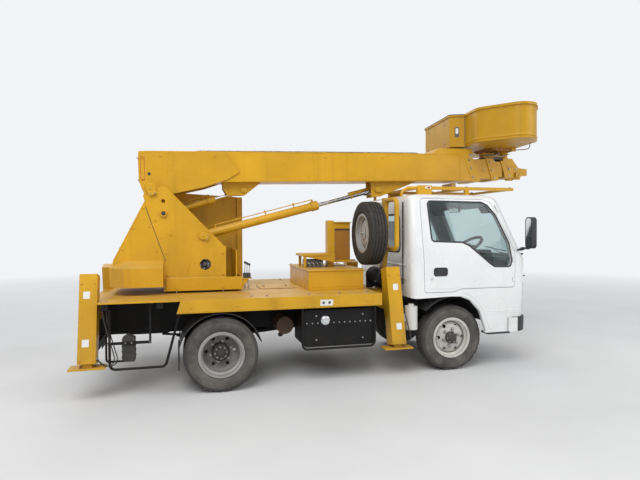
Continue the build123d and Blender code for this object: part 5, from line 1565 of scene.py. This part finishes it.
# Yellow guard tube over the far end of the lift rod
lift_way = Vector((cos(LIFT_SLOPE), 0, sin(LIFT_SLOPE)))
over_rod = Vector((-lift_way.z, 0, lift_way.x)) * 0.030
rod_end = boom_at(2.550, 0, -0.021) - lift_way * 0.035
guard = Piece("rod_guard", "lift_rod", paint_yellow, steel)
guard.tube([rod_end - lift_way * 0.300 + over_rod, rod_end - lift_way * 0.010 + over_rod], 0.022, 0, 16)
for back in (0.280, 0.060):
    ring = rod_end - lift_way * back
    guard.lathe(ring, lift_way, [(0, 0.021), (0, 0.029), (0.020, 0.029), (0.020, 0.021), (0, 0.021)], 28, 0)
guard.build(0.0008)


# Bucket: rim strip, ridge, blank plate, mat, rings, control box and its free hose
BUCKET_CENTRE = 3.300
BUCKET_TURN = radians(-7)
TUB = ((-0.270, 0.751), (-0.270, -0.550), (0.070, -0.905), (0.240, -0.905), (0.420, -0.640), (0.420, 0.751))
TUB_MIDDLE = Vector((0.07, -0.05))
BUCKET_FLOOR = 2.565


def bucket_way(x, y):
    """Direction given in the bucket's own turned frame."""
    return Vector(
        (x * cos(BUCKET_TURN) - y * sin(BUCKET_TURN), x * sin(BUCKET_TURN) + y * cos(BUCKET_TURN), 0)
    )


def bucket_at(x, y, z):
    return at(BUCKET_CENTRE, 0, z) + bucket_way(x, y)


tub_line = rounded(TUB, 0.170, 7)
corner_start = len(tub_line) // len(TUB)
around = [Vector((-0.270, -0.212))] + tub_line[corner_start:] + [Vector((-0.195, 0.751))]


def along_tub(z):
    """Points and outward normals round the outside of the tub, apart from where the tray joins it."""
    laid = []
    for number, p in enumerate(around):
        ahead = around[min(number + 1, len(around) - 1)] - around[max(number - 1, 0)]
        normal = Vector((ahead.y, -ahead.x)).normalized()
        if normal.dot(p - TUB_MIDDLE) < 0:
            normal = -normal
        laid.append((bucket_at(p.x, p.y, z), bucket_way(normal.x, normal.y)))
    return laid


bucket_skin = Skin("bucket")
shell = Piece("bucket_trim", "bucket", paint_bucket, black_rubber, label_white, dark_plastic_and_shade, steel, weld_grey)
bead(shell, along_tub(2.592), 0.026, 0.007)
bead(shell, along_tub(2.561), 0.010, 0.004)
bead(shell, along_tub(2.905), 0.008, 0.003)
tray_edge = [
    bucket_at(x, y, 2.9445)
    for x, y in ((-0.200, 0.7605), (-0.4545, 0.7605), (-0.4545, -0.164), (-0.276, -0.2135))
]
shell.tube(filleted(tray_edge, 0.03), 0.0052, 1, 8)
shell.tube([bucket_at(-0.272, -0.207, z) for z in (2.560, 2.75, 2.918)], 0.0052, 5, 8)
step_out = bucket_way(-0.2668, -0.9638)
label_place = bucket_at(-0.362, -0.178, 2.735)
label_along = bucket_way(0.9638, -0.2668)
plate(
    shell, bucket_skin, card(label_place + step_out * 0.4, label_along, 0.052, 0.124, 0.014), -step_out,
    0.002, 5
)
plate(
    shell, bucket_skin,
    card(label_place + step_out * 0.4 + Vector((0, 0, 0.012)), label_along, 0.034, 0.070, 0.012),
    -step_out, 0.0026, 2
)
for x, y, way in (
    (-0.445, 0.60, (-1, 0)), (-0.445, 0.02, (-1, 0)), (0.420, 0.40, (1, 0)), (0.420, -0.40, (1, 0))
):
    out = bucket_way(*way)
    for z in (2.62, 2.86):
        spot = bucket_skin.meet(bucket_at(x, y, z) + out * 0.4, -out)
        shell.bolt(spot[0], out, 0.016, 4)
mat = rounded(grown(TUB, -0.030), 0.150, 6)
shell.prism([bucket_at(p.x, p.y, BUCKET_FLOOR - 0.001) for p in mat], (0, 0, 0.010), 1)
for number in range(11):
    y = -0.60 + 0.12 * number
    shell.tube(
        [bucket_at(-0.195, y, BUCKET_FLOOR + 0.010), bucket_at(0.335, y, BUCKET_FLOOR + 0.010)], 0.004, 1, 6
    )
for y in (-0.30, 0.45):
    ring = bucket_at(0.402, y, 2.860)
    turns = [
        ring + bucket_way(-0.020 * sin(a) - 0.004, 0.020 * cos(a)) for a in [pi * k / 8 for k in range(9)]
    ]
    shell.tube(turns, 0.005, 4, 8)
shell.build(0.0008)

box = Piece("bucket_controls", "bucket", dark_plastic_and_shade, steel, black_rubber, lamp_red, label_white, paint_bucket)
inner_face = 0.407
box.prism(
    [
        bucket_at(inner_face - 0.115, y, z)
        for y, z in ((-0.10, 2.700), (0.24, 2.700), (0.24, 2.875), (-0.10, 2.875))
    ], bucket_way(0.112, 0), 0
)
box.prism(
    [
        bucket_at(inner_face - 0.135, y, z)
        for y, z in ((-0.115, 2.878), (0.255, 2.878), (0.255, 2.884), (-0.115, 2.884))
    ], bucket_way(0.134, 0), 5
)
for number in range(4):
    y = -0.055 + 0.075 * number
    stem = bucket_at(inner_face - 0.070, y, 2.884)
    box.lathe(
        stem, UP,
        [
            (0, 0.016), (0.004, 0.014), (0.010, 0.006), (0.044, 0.0045), (0.046, 0.011), (0.054, 0.012),
            (0.060, 0.008), (0.062, 0)
        ], 16, 2
    )
box.lathe(
    bucket_at(inner_face - 0.070, 0.228, 2.884), UP,
    [(0, 0.012), (0.014, 0.012), (0.015, 0.018), (0.024, 0.018), (0.027, 0.012), (0.028, 0)], 20, 3
)
box.prism(
    [
        bucket_at(inner_face - 0.1165, y, z)
        for y, z in ((-0.07, 2.760), (0.05, 2.760), (0.05, 2.830), (-0.07, 2.830))
    ], bucket_way(0.002, 0), 4
)
box.build(0.003)


def hose(name, body, points, diameter, material):
    """Hydraulic hose on one smooth curve."""
    data = bpy.data.curves.new(name, "CURVE")
    data.dimensions = "3D"
    data.resolution_u = 10
    spline = data.splines.new("NURBS")
    spline.points.add(len(points) - 1)
    for control, place in zip(spline.points, points):
        control.co = (*place, 1.0)
    spline.order_u = 3
    spline.use_endpoint_u = True
    thing = bpy.data.objects.new(name, data)
    bpy.context.scene.collection.objects.link(thing)
    bpy.context.view_layer.update()
    line = bpy.data.meshes.new_from_object(thing)
    data.bevel_depth = diameter / 2
    data.bevel_resolution = 3
    data.materials.append(material)
    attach(thing, body)
    return thing


hose(
    "bucket_hose", "bucket",
    [at(3.605, -0.600, 2.556), at(3.612, -0.600, 2.502), at(3.690, -0.420, 2.504), at(3.694, -0.196, 2.534)],
    0.010, black_rubber
)

# Sub-frame under the floor, round the swing boss, with ribs and a front plate
UNDER_LOW = 2.516
frame_piece = Piece("bucket_subframe", "bucket", painted_shade_ochre, steel, paint_yellow)
# Side plates and ribs are in the darker ochre, painted shade under the bucket; the front plate stays in the
# lit yellow
for y in (-0.200, 0.188):
    frame_piece.prism(
        at_side(
            y,
            ((3.345, 2.5525), (3.700, 2.5525), (3.694, UNDER_LOW), (3.470, UNDER_LOW - 0.004), (3.380, 2.532))
        ), (0, 0.012, 0), 0
    )
for x in (3.395, 3.520, 3.690):
    frame_piece.box(at(x - 0.005, -0.192, UNDER_LOW + 0.004), at(x + 0.005, 0.192, 2.5525), 0)
frame_piece.box(at(3.640, -0.208, UNDER_LOW - 0.002), at(3.700, -0.196, 2.5520), 2)
for x in (3.420, 3.500, 3.580):
    frame_piece.bolt(at(x, -0.200, 2.5375), RIGHT, 0.012, 1)
frame_piece.build(0.0012)


# Deck, outriggers, tank, console, spare wheel carrier and rear end
deck_skin = Skin("deck")
leg_skin = Skin("outrigger_sleeves")
deck_trim = Piece(
    "deck_trim", "chassis", paint_yellow, label_white, dark_plastic_and_shade, steel, black_rubber, lamp_orange
)
for hand in (-1, 1):
    inward, out = Vector((0, -hand, 0)), Vector((0, hand, 0))
    centre = at(1.030, hand * BESIDE_DECK, 0.818)
    plate(deck_trim, deck_skin, card(centre, FORE, 0.132, 0.060, 0.006), inward, 0.0015, 1)
    for x in (0.998, 1.058):
        plate(
            deck_trim, deck_skin, card(at(x, hand * BESIDE_DECK, 0.818), FORE, 0.024, 0.024, 0.003),
            inward, 0.0024, 2
        )
    for x in (-0.28, 0.15, 0.58, 1.46):
        bolt_on(deck_trim, deck_skin, at(x, hand * BESIDE_DECK, 0.822), inward, 0.015, 0)
    edge = deck_skin.route(at_side(hand * BESIDE_DECK, ((-0.352, 0.783), (1.600, 0.783))), inward, 0.15)
    bead(deck_trim, edge, 0.006, 0.003)
    for station, upper, shift in ((-1.185, 0.955, -0.012), (1.810, 0.935, 0.012)):
        for z in (upper, 0.535):
            plate(
                deck_trim, leg_skin,
                card(at(station + shift, hand * BESIDE_LEGS, z), FORE, 0.058, 0.064, 0.006), inward,
                0.0015, 1
            )
        for x in (-0.056, 0.056):
            for z in (0.385, 1.060):
                bolt_on(deck_trim, leg_skin, at(station + x, hand * BESIDE_LEGS, z), inward, 0.016, 0)
        seam = leg_skin.route(
            at_side(hand * BESIDE_LEGS, ((station + 0.060, 0.370), (station + 0.060, 1.090))), inward, 0.1
        )
        bead(deck_trim, seam, 0.005, 0.0025)
hatch = [(0.480, -0.210), (0.860, -0.210), (0.860, 0.190), (0.480, 0.190)]
deck_trim.prism(at_height(DECK_TOP - 0.001, rounded(hatch, 0.02, 3)), (0, 0, 0.007), 0)
rim = at_height(DECK_TOP + 0.001, rounded(grown(hatch, 0.004), 0.022, 3))
deck_trim.tube(rim + [rim[0]], 0.003, 2, 6)
for x in (0.540, 0.800):
    deck_trim.tube(
        filleted(at_station(x, ((-0.03, 0.896), (-0.03, 0.912), (0.07, 0.912), (0.07, 0.896))), 0.012), 0.004,
        3, 8
    )
for x in (0.30, 0.45, 0.88, 1.20, 1.50):
    for y in (-0.80, 0.80):
        deck_trim.bolt(at(x, y, DECK_TOP), UP, 0.018, 3)
for y in (-0.700, -0.5, 0.5, 0.700):
    deck_trim.box(at(-1.05, y - 0.003, DECK_TOP - 0.001), at(-0.75, y + 0.003, DECK_TOP + 0.004), 0)
deck_trim.build(0.0008)

# Fuel tank, its cap, straps and studs; lids and catches of the battery box opposite
tank_skin = Skin("fuel_tank")
tank_side = -0.872
tank = Piece("tank_trim", "chassis", paint_black, steel, chrome, black_rubber)
tank.lathe(
    at(1.030, tank_side, 0.632), RIGHT,
    [
        (-0.002, 0), (-0.002, 0.046), (0.006, 0.046), (0.008, 0.040), (0.018, 0.039), (0.021, 0.035),
        (0.021, 0.012), (0.019, 0.010), (0.019, 0)
    ], 40, 2
)
for number in range(8):
    turn = 2 * pi * number / 8
    tank.box(
        at(1.030 + 0.039 * cos(turn) - 0.004, tank_side - 0.019, 0.632 + 0.039 * sin(turn) - 0.004),
        at(1.030 + 0.039 * cos(turn) + 0.004, tank_side - 0.008, 0.632 + 0.039 * sin(turn) + 0.004), 2
    )
for number in range(13):
    x = 0.840 + 0.056 * number
    if abs(x - 1.030) > 0.055:
        tank.lathe(
            at(x, tank_side, 0.606), RIGHT,
            [(-0.001, 0), (-0.001, 0.0085), (0.003, 0.008), (0.006, 0.005), (0.007, 0)], 12, 1
        )
flange = tank_skin.route(at_side(-BESIDE_TANKS, ((0.812, 0.588), (1.558, 0.588))), RIGHT_FACE, 0.1)
bead(tank, flange, 0.012, 0.005)
for x in (0.935, 1.425):
    strap = tank_skin.route(at_side(-BESIDE_TANKS, ((x, 0.415), (x, 0.700))), RIGHT_FACE, 0.05)
    bead(tank, strap, 0.036, 0.0035)
    for z in (0.440, 0.680):
        tank.bolt(
            tank_skin.meet(at(x, -BESIDE_TANKS, z), RIGHT_FACE)[0] + Vector((0, -0.0035, 0)), RIGHT, 0.015, 1
        )
tank.lathe(at(1.180, -0.700, 0.3665), DOWN, [(-0.001, 0), (-0.001, 0.022), (0.010, 0.022), (0.010, 0)], 6, 1)
tank.build(0.0008)

battery_skin = Skin("battery_box")
battery = Piece("battery_trim", "chassis", paint_black, steel, black_rubber)
line = battery_skin.route(at_side(BESIDE_TANKS, ((0.806, 0.640), (1.414, 0.640))), LEFT_FACE, 0.1)
bead(battery, line, 0.010, 0.005)
for x in (0.930, 1.290):
    hasp = battery_skin.meet(at(x, BESIDE_TANKS, 0.620), LEFT_FACE)[0]
    battery.box(hasp + Vector((-0.014, -0.001, -0.035)), hasp + Vector((0.014, 0.010, 0.040)), 1)
    battery.tube(
        filleted(
            [
                hasp + Vector((-0.010, 0.010, 0.010)), hasp + Vector((-0.010, 0.022, -0.020)),
                hasp + Vector((0.010, 0.022, -0.020)), hasp + Vector((0.010, 0.010, 0.010))
            ], 0.006
        ), 0.003, 1, 8
    )
handle = battery_skin.meet(at(1.110, BESIDE_TANKS, 0.560), LEFT_FACE)[0]
battery.tube(
    filleted(
        [
            handle + Vector((-0.055, 0, 0)), handle + Vector((-0.055, 0.024, 0)),
            handle + Vector((0.055, 0.024, 0)), handle + Vector((0.055, 0, 0))
        ], 0.015
    ), 0.006, 1, 8
)
for x in (0.86, 1.0, 1.22, 1.36):
    rib = battery_skin.route(at_side(BESIDE_TANKS, ((x, 0.430), (x, 0.615))), LEFT_FACE, 0.06)
    bead(battery, rib, 0.014, 0.005)
battery.build(0.0008)

pipe = Piece("exhaust_trim", "chassis", rust, steel)
pipe.lathe(
    at(0.660, -0.650, 0.560), RIGHT,
    [(-0.002, 0), (-0.002, 0.088), (0.010, 0.088), (0.010, 0.078), (0.003, 0.074), (0.003, 0)], 40, 0
)
pipe.lathe(
    at(0.660, -0.400, 0.560), RIGHT, [(0, 0.0855), (0.004, 0.089), (0.014, 0.089), (0.018, 0.0855)], 40, 0
)
pipe.tube(
    filleted(at_station(0.655, ((-0.480, 0.500), (-0.480, 0.440), (-0.400, 0.420))), 0.04), 0.024, 0, 16
)
pipe.build(0.001)

# Console: hood, frame and bolts on its panel, levers and gear on the box under its shelf
desk = Piece(
    "console_trim", "chassis", paint_yellow, dark_plastic_and_shade, steel, black_rubber, lamp_red, label_white,
    weld_grey, painted_shade_ochre
)
desk.box(at(1.350, -0.078, 1.624), at(1.572, 0.232, 1.634), 0)
# The panel face is in the darker ochre, painted shadow of the spare wheel; the thin dark strip under the hood
# is painted shade
desk.box(at(1.366, -0.0630, 1.190), at(1.556, -0.0605, 1.560), 7)
desk.box(at(1.372, -0.0675, 1.536), at(1.550, -0.0635, 1.550), 1)
for x in (1.380, 1.542):
    for z in (1.205, 1.370, 1.520):
        desk.bolt(at(x, -0.063, z), RIGHT, 0.010, 2)
for hand in (-1, 1):
    desk.prism(
        at_side(hand * 0.139, ((0.972, 1.268), (1.350, 1.268), (1.350, 1.165), (0.972, 1.236))),
        (0, hand * 0.005, 0), 0
    )
desk.box(at(1.020, -0.110, 1.112), at(1.215, 0.100, 1.196), 6)
for number in range(4):
    x = 1.040 + 0.048 * number
    desk.lathe(
        at(x, -0.110, 1.160), RIGHT, [(0, 0.013), (0.008, 0.013), (0.010, 0.009), (0.020, 0.009), (0.020, 0)],
        6, 2
    )
    desk.tube(
        filleted([at(x, -0.128, 1.160), at(x, -0.150, 1.160), at(x + 0.015, -0.152, 1.118)], 0.015), 0.0065,
        2, 8
    )
for x in (0.965, 1.26, 1.56):
    for y in (-0.49, 0.49):
        desk.bolt(at(x, y, 1.112), UP, 0.014, 2)
side_line = at_side(-0.5005, ((0.985, 0.925), (1.535, 0.925), (1.535, 1.070), (0.985, 1.070), (0.985, 0.925)))
desk.tube(side_line, 0.0028, 0, 6)
desk.build(0.0008)

# Spare wheel's clamp, hoop clamps and the clipped conduit behind the cab
clamp = Piece("spare_clamp", "chassis", paint_black, steel, paint_yellow, black_rubber, rim_silver)
clamp.lathe(
    at(1.603, -0.400, 1.500), AFT,
    [
        (-0.004, 0), (-0.004, 0.066), (0.003, 0.066), (0.006, 0.060), (0.006, 0.024), (0.010, 0.021),
        (0.010, 0)
    ], 32, 4
)
clamp.bolt(at(1.594, -0.400, 1.500), AFT, 0.026, 1, 0.016)
for z in (1.345, 1.855):
    clamp.box(at(1.838, -0.452, z - 0.030), at(1.892, -0.436, z + 0.030), 2)
    clamp.bolt(at(1.865, -0.4545, z), RIGHT, 0.018, 1)
conduit = at_side(-0.620, ((1.9835, 0.940), (1.9835, 1.845)))
clamp.tube(conduit, 0.0075, 3, 10)
for z in (1.02, 1.28, 1.54, 1.80):
    clamp.box(at(1.9755, -0.636, z - 0.008), at(1.9945, -0.604, z + 0.008), 1)
clamp.build(0.0012)

# Air cleaner and its duct behind the cab, low and in the shade
cleaner = Piece("air_cleaner", "chassis", paint_black, steel, black_rubber, dark_plastic_and_shade)
cleaner.lathe(
    at(1.780, -0.600, 1.020), LEFT,
    [
        (0, 0), (0, 0.070), (0.010, 0.086), (0.045, 0.092), (0.050, 0.097), (0.058, 0.097), (0.063, 0.092),
        (0.330, 0.092), (0.335, 0.097), (0.343, 0.097), (0.350, 0.080), (0.360, 0.074), (0.360, 0)
    ], 36, 0
)
for number in range(4):
    turn = 2 * pi * number / 4 + 0.5
    cleaner.prism(
        [
            at(1.780 + 0.094 * cos(turn + a), -0.560 + b, 1.020 + 0.094 * sin(turn + a))
            for a, b in ((-0.08, 0.0), (0.08, 0.0), (0.08, 0.045), (-0.08, 0.045))
        ], Vector((cos(turn), 0, sin(turn))) * 0.008, 1
    )
cleaner.tube(
    filleted(at_station(1.780, ((-0.260, 1.020), (-0.120, 1.020), (-0.120, 0.860))), 0.09), 0.042, 2, 20
)
for y in (-0.50, -0.34):
    cleaner.prism(
        at_side(y, ((1.700, 0.896), (1.860, 0.896), (1.845, 0.960), (1.715, 0.960))), (0, 0.008, 0), 0
    )
cleaner.build(0.0015)

# Roof: wide bracket at the right rail with its small reflector, rail bolts
roof = Piece("roof_trim", "chassis", paint_yellow, label_white, lamp_red, steel)
for hand in (-1, 1):
    y_low, y_high = sorted((hand * 0.4395, hand * 0.4455))
    roof.box(at(2.245, y_low, 1.940), at(2.425, y_high, 2.046), 0)
    reflector = at(2.374, hand * 0.4455, 2.020)
    roof.prism(
        [
            reflector + Vector((p.x, 0, p.y))
            for p in rounded([(-0.036, -0.013), (0.036, -0.013), (0.036, 0.013), (-0.036, 0.013)], 0.005, 3)
        ], (0, hand * 0.004, 0), 1
    )
    roof.prism(
        [
            reflector + Vector((p.x + 0.006, hand * 0.003, p.y))
            for p in rounded([(-0.014, -0.008), (0.014, -0.008), (0.014, 0.008), (-0.014, 0.008)], 0.003, 3)
        ], (0, hand * 0.004, 0), 2
    )
    for x in (2.300, 2.880, 3.460):
        roof.bolt(at(x, hand * 0.420, 2.036), UP, 0.016, 3)
roof.box(at(2.848, -0.122, 2.078), at(2.912, 0.122, 2.084), 3)
roof.build(0.0015)

# Rear end: lamp lenses, blank plate, reflectors and a small bracket
rear = Piece(
    "rear_trim", "chassis", paint_black, label_white, lamp_red, lamp_orange, lamp_white, steel, black_rubber
)
for hand in (-1, 1):
    for number, (share, tone) in enumerate(((0.0, 3), (0.40, 2), (0.80, 4))):
        low, high = 0.428 + 0.245 * share, 0.428 + 0.245 * min(1.0, share + 0.385)
        a, b = sorted((hand * low, hand * high))
        loops = []
        for drop, lift in ((0.0, 0.0), (0.004, 0.008), (0.010, 0.011)):
            loops.append(
                at_station(
                    -1.190 - lift,
                    (
                        (a + drop, 0.512 + drop), (b - drop, 0.512 + drop), (b - drop, 0.593 - drop),
                        (a + drop, 0.593 - drop)
                    )
                )
            )
        rear.strip(loops, tone)
        rear.add(loops[-1], [(0, 1, 2, 3)], tone)
    rear.lathe(
        at(-1.160, hand * 0.330, 0.465), AFT,
        [(0, 0), (0, 0.030), (0.006, 0.030), (0.008, 0.025), (0.008, 0)], 24, 2
    )
rear.box(at(-1.166, -0.165, 0.332), at(-1.160, 0.165, 0.497), 1)
rear.box(at(-1.163, -0.172, 0.325), at(-1.158, 0.172, 0.504), 0)
for y in (-0.12, 0.12):
    rear.bolt(at(-1.166, y, 0.480), AFT, 0.010, 5)
rear.box(at(-1.185, -0.05, 0.500), at(-1.150, 0.05, 0.528), 0)
rear.build(0.002)

# Dark step frame and stowed chock in front of the rear right leg
step = Piece("boarding_step", "chassis", paint_black, black_rubber, steel)
step.tube(filleted(at_side(-0.800, ((-1.035, 0.872), (-1.035, 0.335), (-0.890, 0.335))), 0.03), 0.010, 0, 10)
step.box(at(-1.045, -0.806, 0.487), at(-0.640, -0.794, 0.513), 0)
step.box(at(-0.660, -0.806, 0.500), at(-0.640, -0.794, 0.872), 0)
step.prism(
    at_side(
        -0.794,
        rounded(
            [(-0.900, 0.322), (-0.786, 0.322), (-0.786, 0.545), (-0.855, 0.572), (-0.900, 0.545)], 0.012, 3
        )
    ), (0, 0.095, 0), 1
)
for z in (0.370, 0.420, 0.470):
    step.box(at(-0.904, -0.797, z - 0.006), at(-0.782, -0.696, z + 0.006), 1)
for x in (-1.020, -0.870, -0.815, -0.655):
    step.bolt(at(x, -0.806, 0.500), RIGHT, 0.011, 2)
step.build(0.0015)

# Free hoses beside the legs, from the deck's underside into the legs' ports
LEG_HOSES = (
    (
        "rear", 0.010,
        (
            (-1.062, 0.842, 0.868), (-1.060, 0.850, 0.780), (-1.020, 0.868, 0.620), (-0.975, 0.882, 0.480),
            (-0.945, 0.884, 0.340), (-1.045, 0.880, 0.300), (-1.110, 0.868, 0.388)
        )
    ),
    (
        "rear_twin", 0.010,
        (
            (-1.030, 0.822, 0.868), (-1.030, 0.820, 0.760), (-1.000, 0.818, 0.600), (-0.958, 0.816, 0.450),
            (-0.925, 0.815, 0.322), (-1.035, 0.820, 0.280), (-1.110, 0.836, 0.376)
        )
    ),
    (
        "front", 0.012,
        (
            (1.890, 0.790, 0.815), (1.900, 0.805, 0.740), (1.925, 0.840, 0.600), (1.950, 0.862, 0.480),
            (1.974, 0.868, 0.358), (1.884, 0.864, 0.374)
        )
    )
)
for place, thickness, route in LEG_HOSES:
    for side_name, hand in (("right", -1), ("left", 1)):
        points = [at(x, hand * y, z) for x, y, z in route]
        hose(f"leg_hose_{place}_{side_name}", "chassis", points, thickness, black_rubber)
        ports = Piece(f"leg_port_{place}_{side_name}", "chassis", steel)
        ports.tube([points[0] + Vector((0, 0, 0.030)), points[0] - Vector((0, 0, 0.006))], 0.011, 0, 12)
        step = (points[-1] - points[-2]).normalized()
        ports.tube([points[-1] - step * 0.012, points[-1] + step * 0.030], 0.0115, 0, 12)
        ports.build(0.0006, "rod_chrome")


# Floor, backdrop and light
FLOOR_SIZE = 160.0
FADE_START, FADE_END = 4.5, 15.0


def add_floor():
    mesh = bpy.data.meshes.new("floor")
    half = FLOOR_SIZE / 2
    mesh.from_pydata(
        [(-half, -half, 0), (half, -half, 0), (half, half, 0), (-half, half, 0)], [], [(0, 1, 2, 3)]
    )
    floor = bpy.data.objects.new("floor", mesh)
    bpy.context.scene.collection.objects.link(floor)
    n = Nodes("floor")
    n.link(
        n.mix(n.band(n.noise(0.7, 4.0), 0.3, 0.7), (0.60, 0.60, 0.60), (0.66, 0.66, 0.66)),
        n.shader.inputs["Base Color"]
    )
    n.shader.inputs["Roughness"].default_value = 0.9
    distance = n.add("ShaderNodeVectorMath", operation="LENGTH")
    n.link(n.place, distance.inputs[0])
    away = n.band(distance.outputs["Value"], FADE_START, FADE_END)
    glow = n.add("ShaderNodeEmission")
    glow.inputs["Color"].default_value = (0.885, 0.905, 0.93, 1.0)
    blend = n.add("ShaderNodeMixShader")
    n.link(away, blend.inputs[0])
    n.link(n.shader.outputs[0], blend.inputs[1])
    n.link(glow.outputs[0], blend.inputs[2])
    n.link(blend.outputs[0], n.tree.nodes["Material Output"].inputs["Surface"])
    mesh.materials.append(n.material)


def add_world():
    world = bpy.data.worlds.new("world")
    bpy.context.scene.world = world
    world.use_nodes = True
    tree = world.node_tree
    background = tree.nodes["Background"]
    rays = tree.nodes.new("ShaderNodeLightPath")
    seen = tree.nodes.new("ShaderNodeMath")
    seen.operation = "MAXIMUM"
    tree.links.new(rays.outputs["Is Camera Ray"], seen.inputs[0])
    tree.links.new(rays.outputs["Is Transmission Ray"], seen.inputs[1])
    strength = tree.nodes.new("ShaderNodeMapRange")
    strength.inputs["To Min"].default_value = 0.55
    strength.inputs["To Max"].default_value = 0.93
    tree.links.new(seen.outputs[0], strength.inputs["Value"])
    background.inputs["Color"].default_value = (0.95, 0.97, 1.0, 1.0)
    tree.links.new(strength.outputs["Result"], background.inputs["Strength"])


# name, place, aim, size, power
LAMPS = (
    ("key", (-4.0, -7.0, 9.0), (0.0, 0.0, 1.2), 7.0, 830.0),
    ("fill", (6.5, -5.0, 5.0), (0.5, 0.0, 1.2), 6.0, 220.0),
    ("back", (-1.0, 8.0, 8.0), (0.0, 0.0, 1.2), 7.0, 360.0)
)


def add_lamps():
    for name, place, aim, size, power in LAMPS:
        data = bpy.data.lights.new(name, "AREA")
        data.size = size
        data.energy = power
        lamp = bpy.data.objects.new(name, data)
        bpy.context.scene.collection.objects.link(lamp)
        lamp.location = place
        lamp.rotation_euler = (Vector(aim) - Vector(place)).to_track_quat("-Z", "Y").to_euler()


add_floor()
add_world()
add_lamps()
bpy.context.scene.view_settings.view_transform = "Standard"
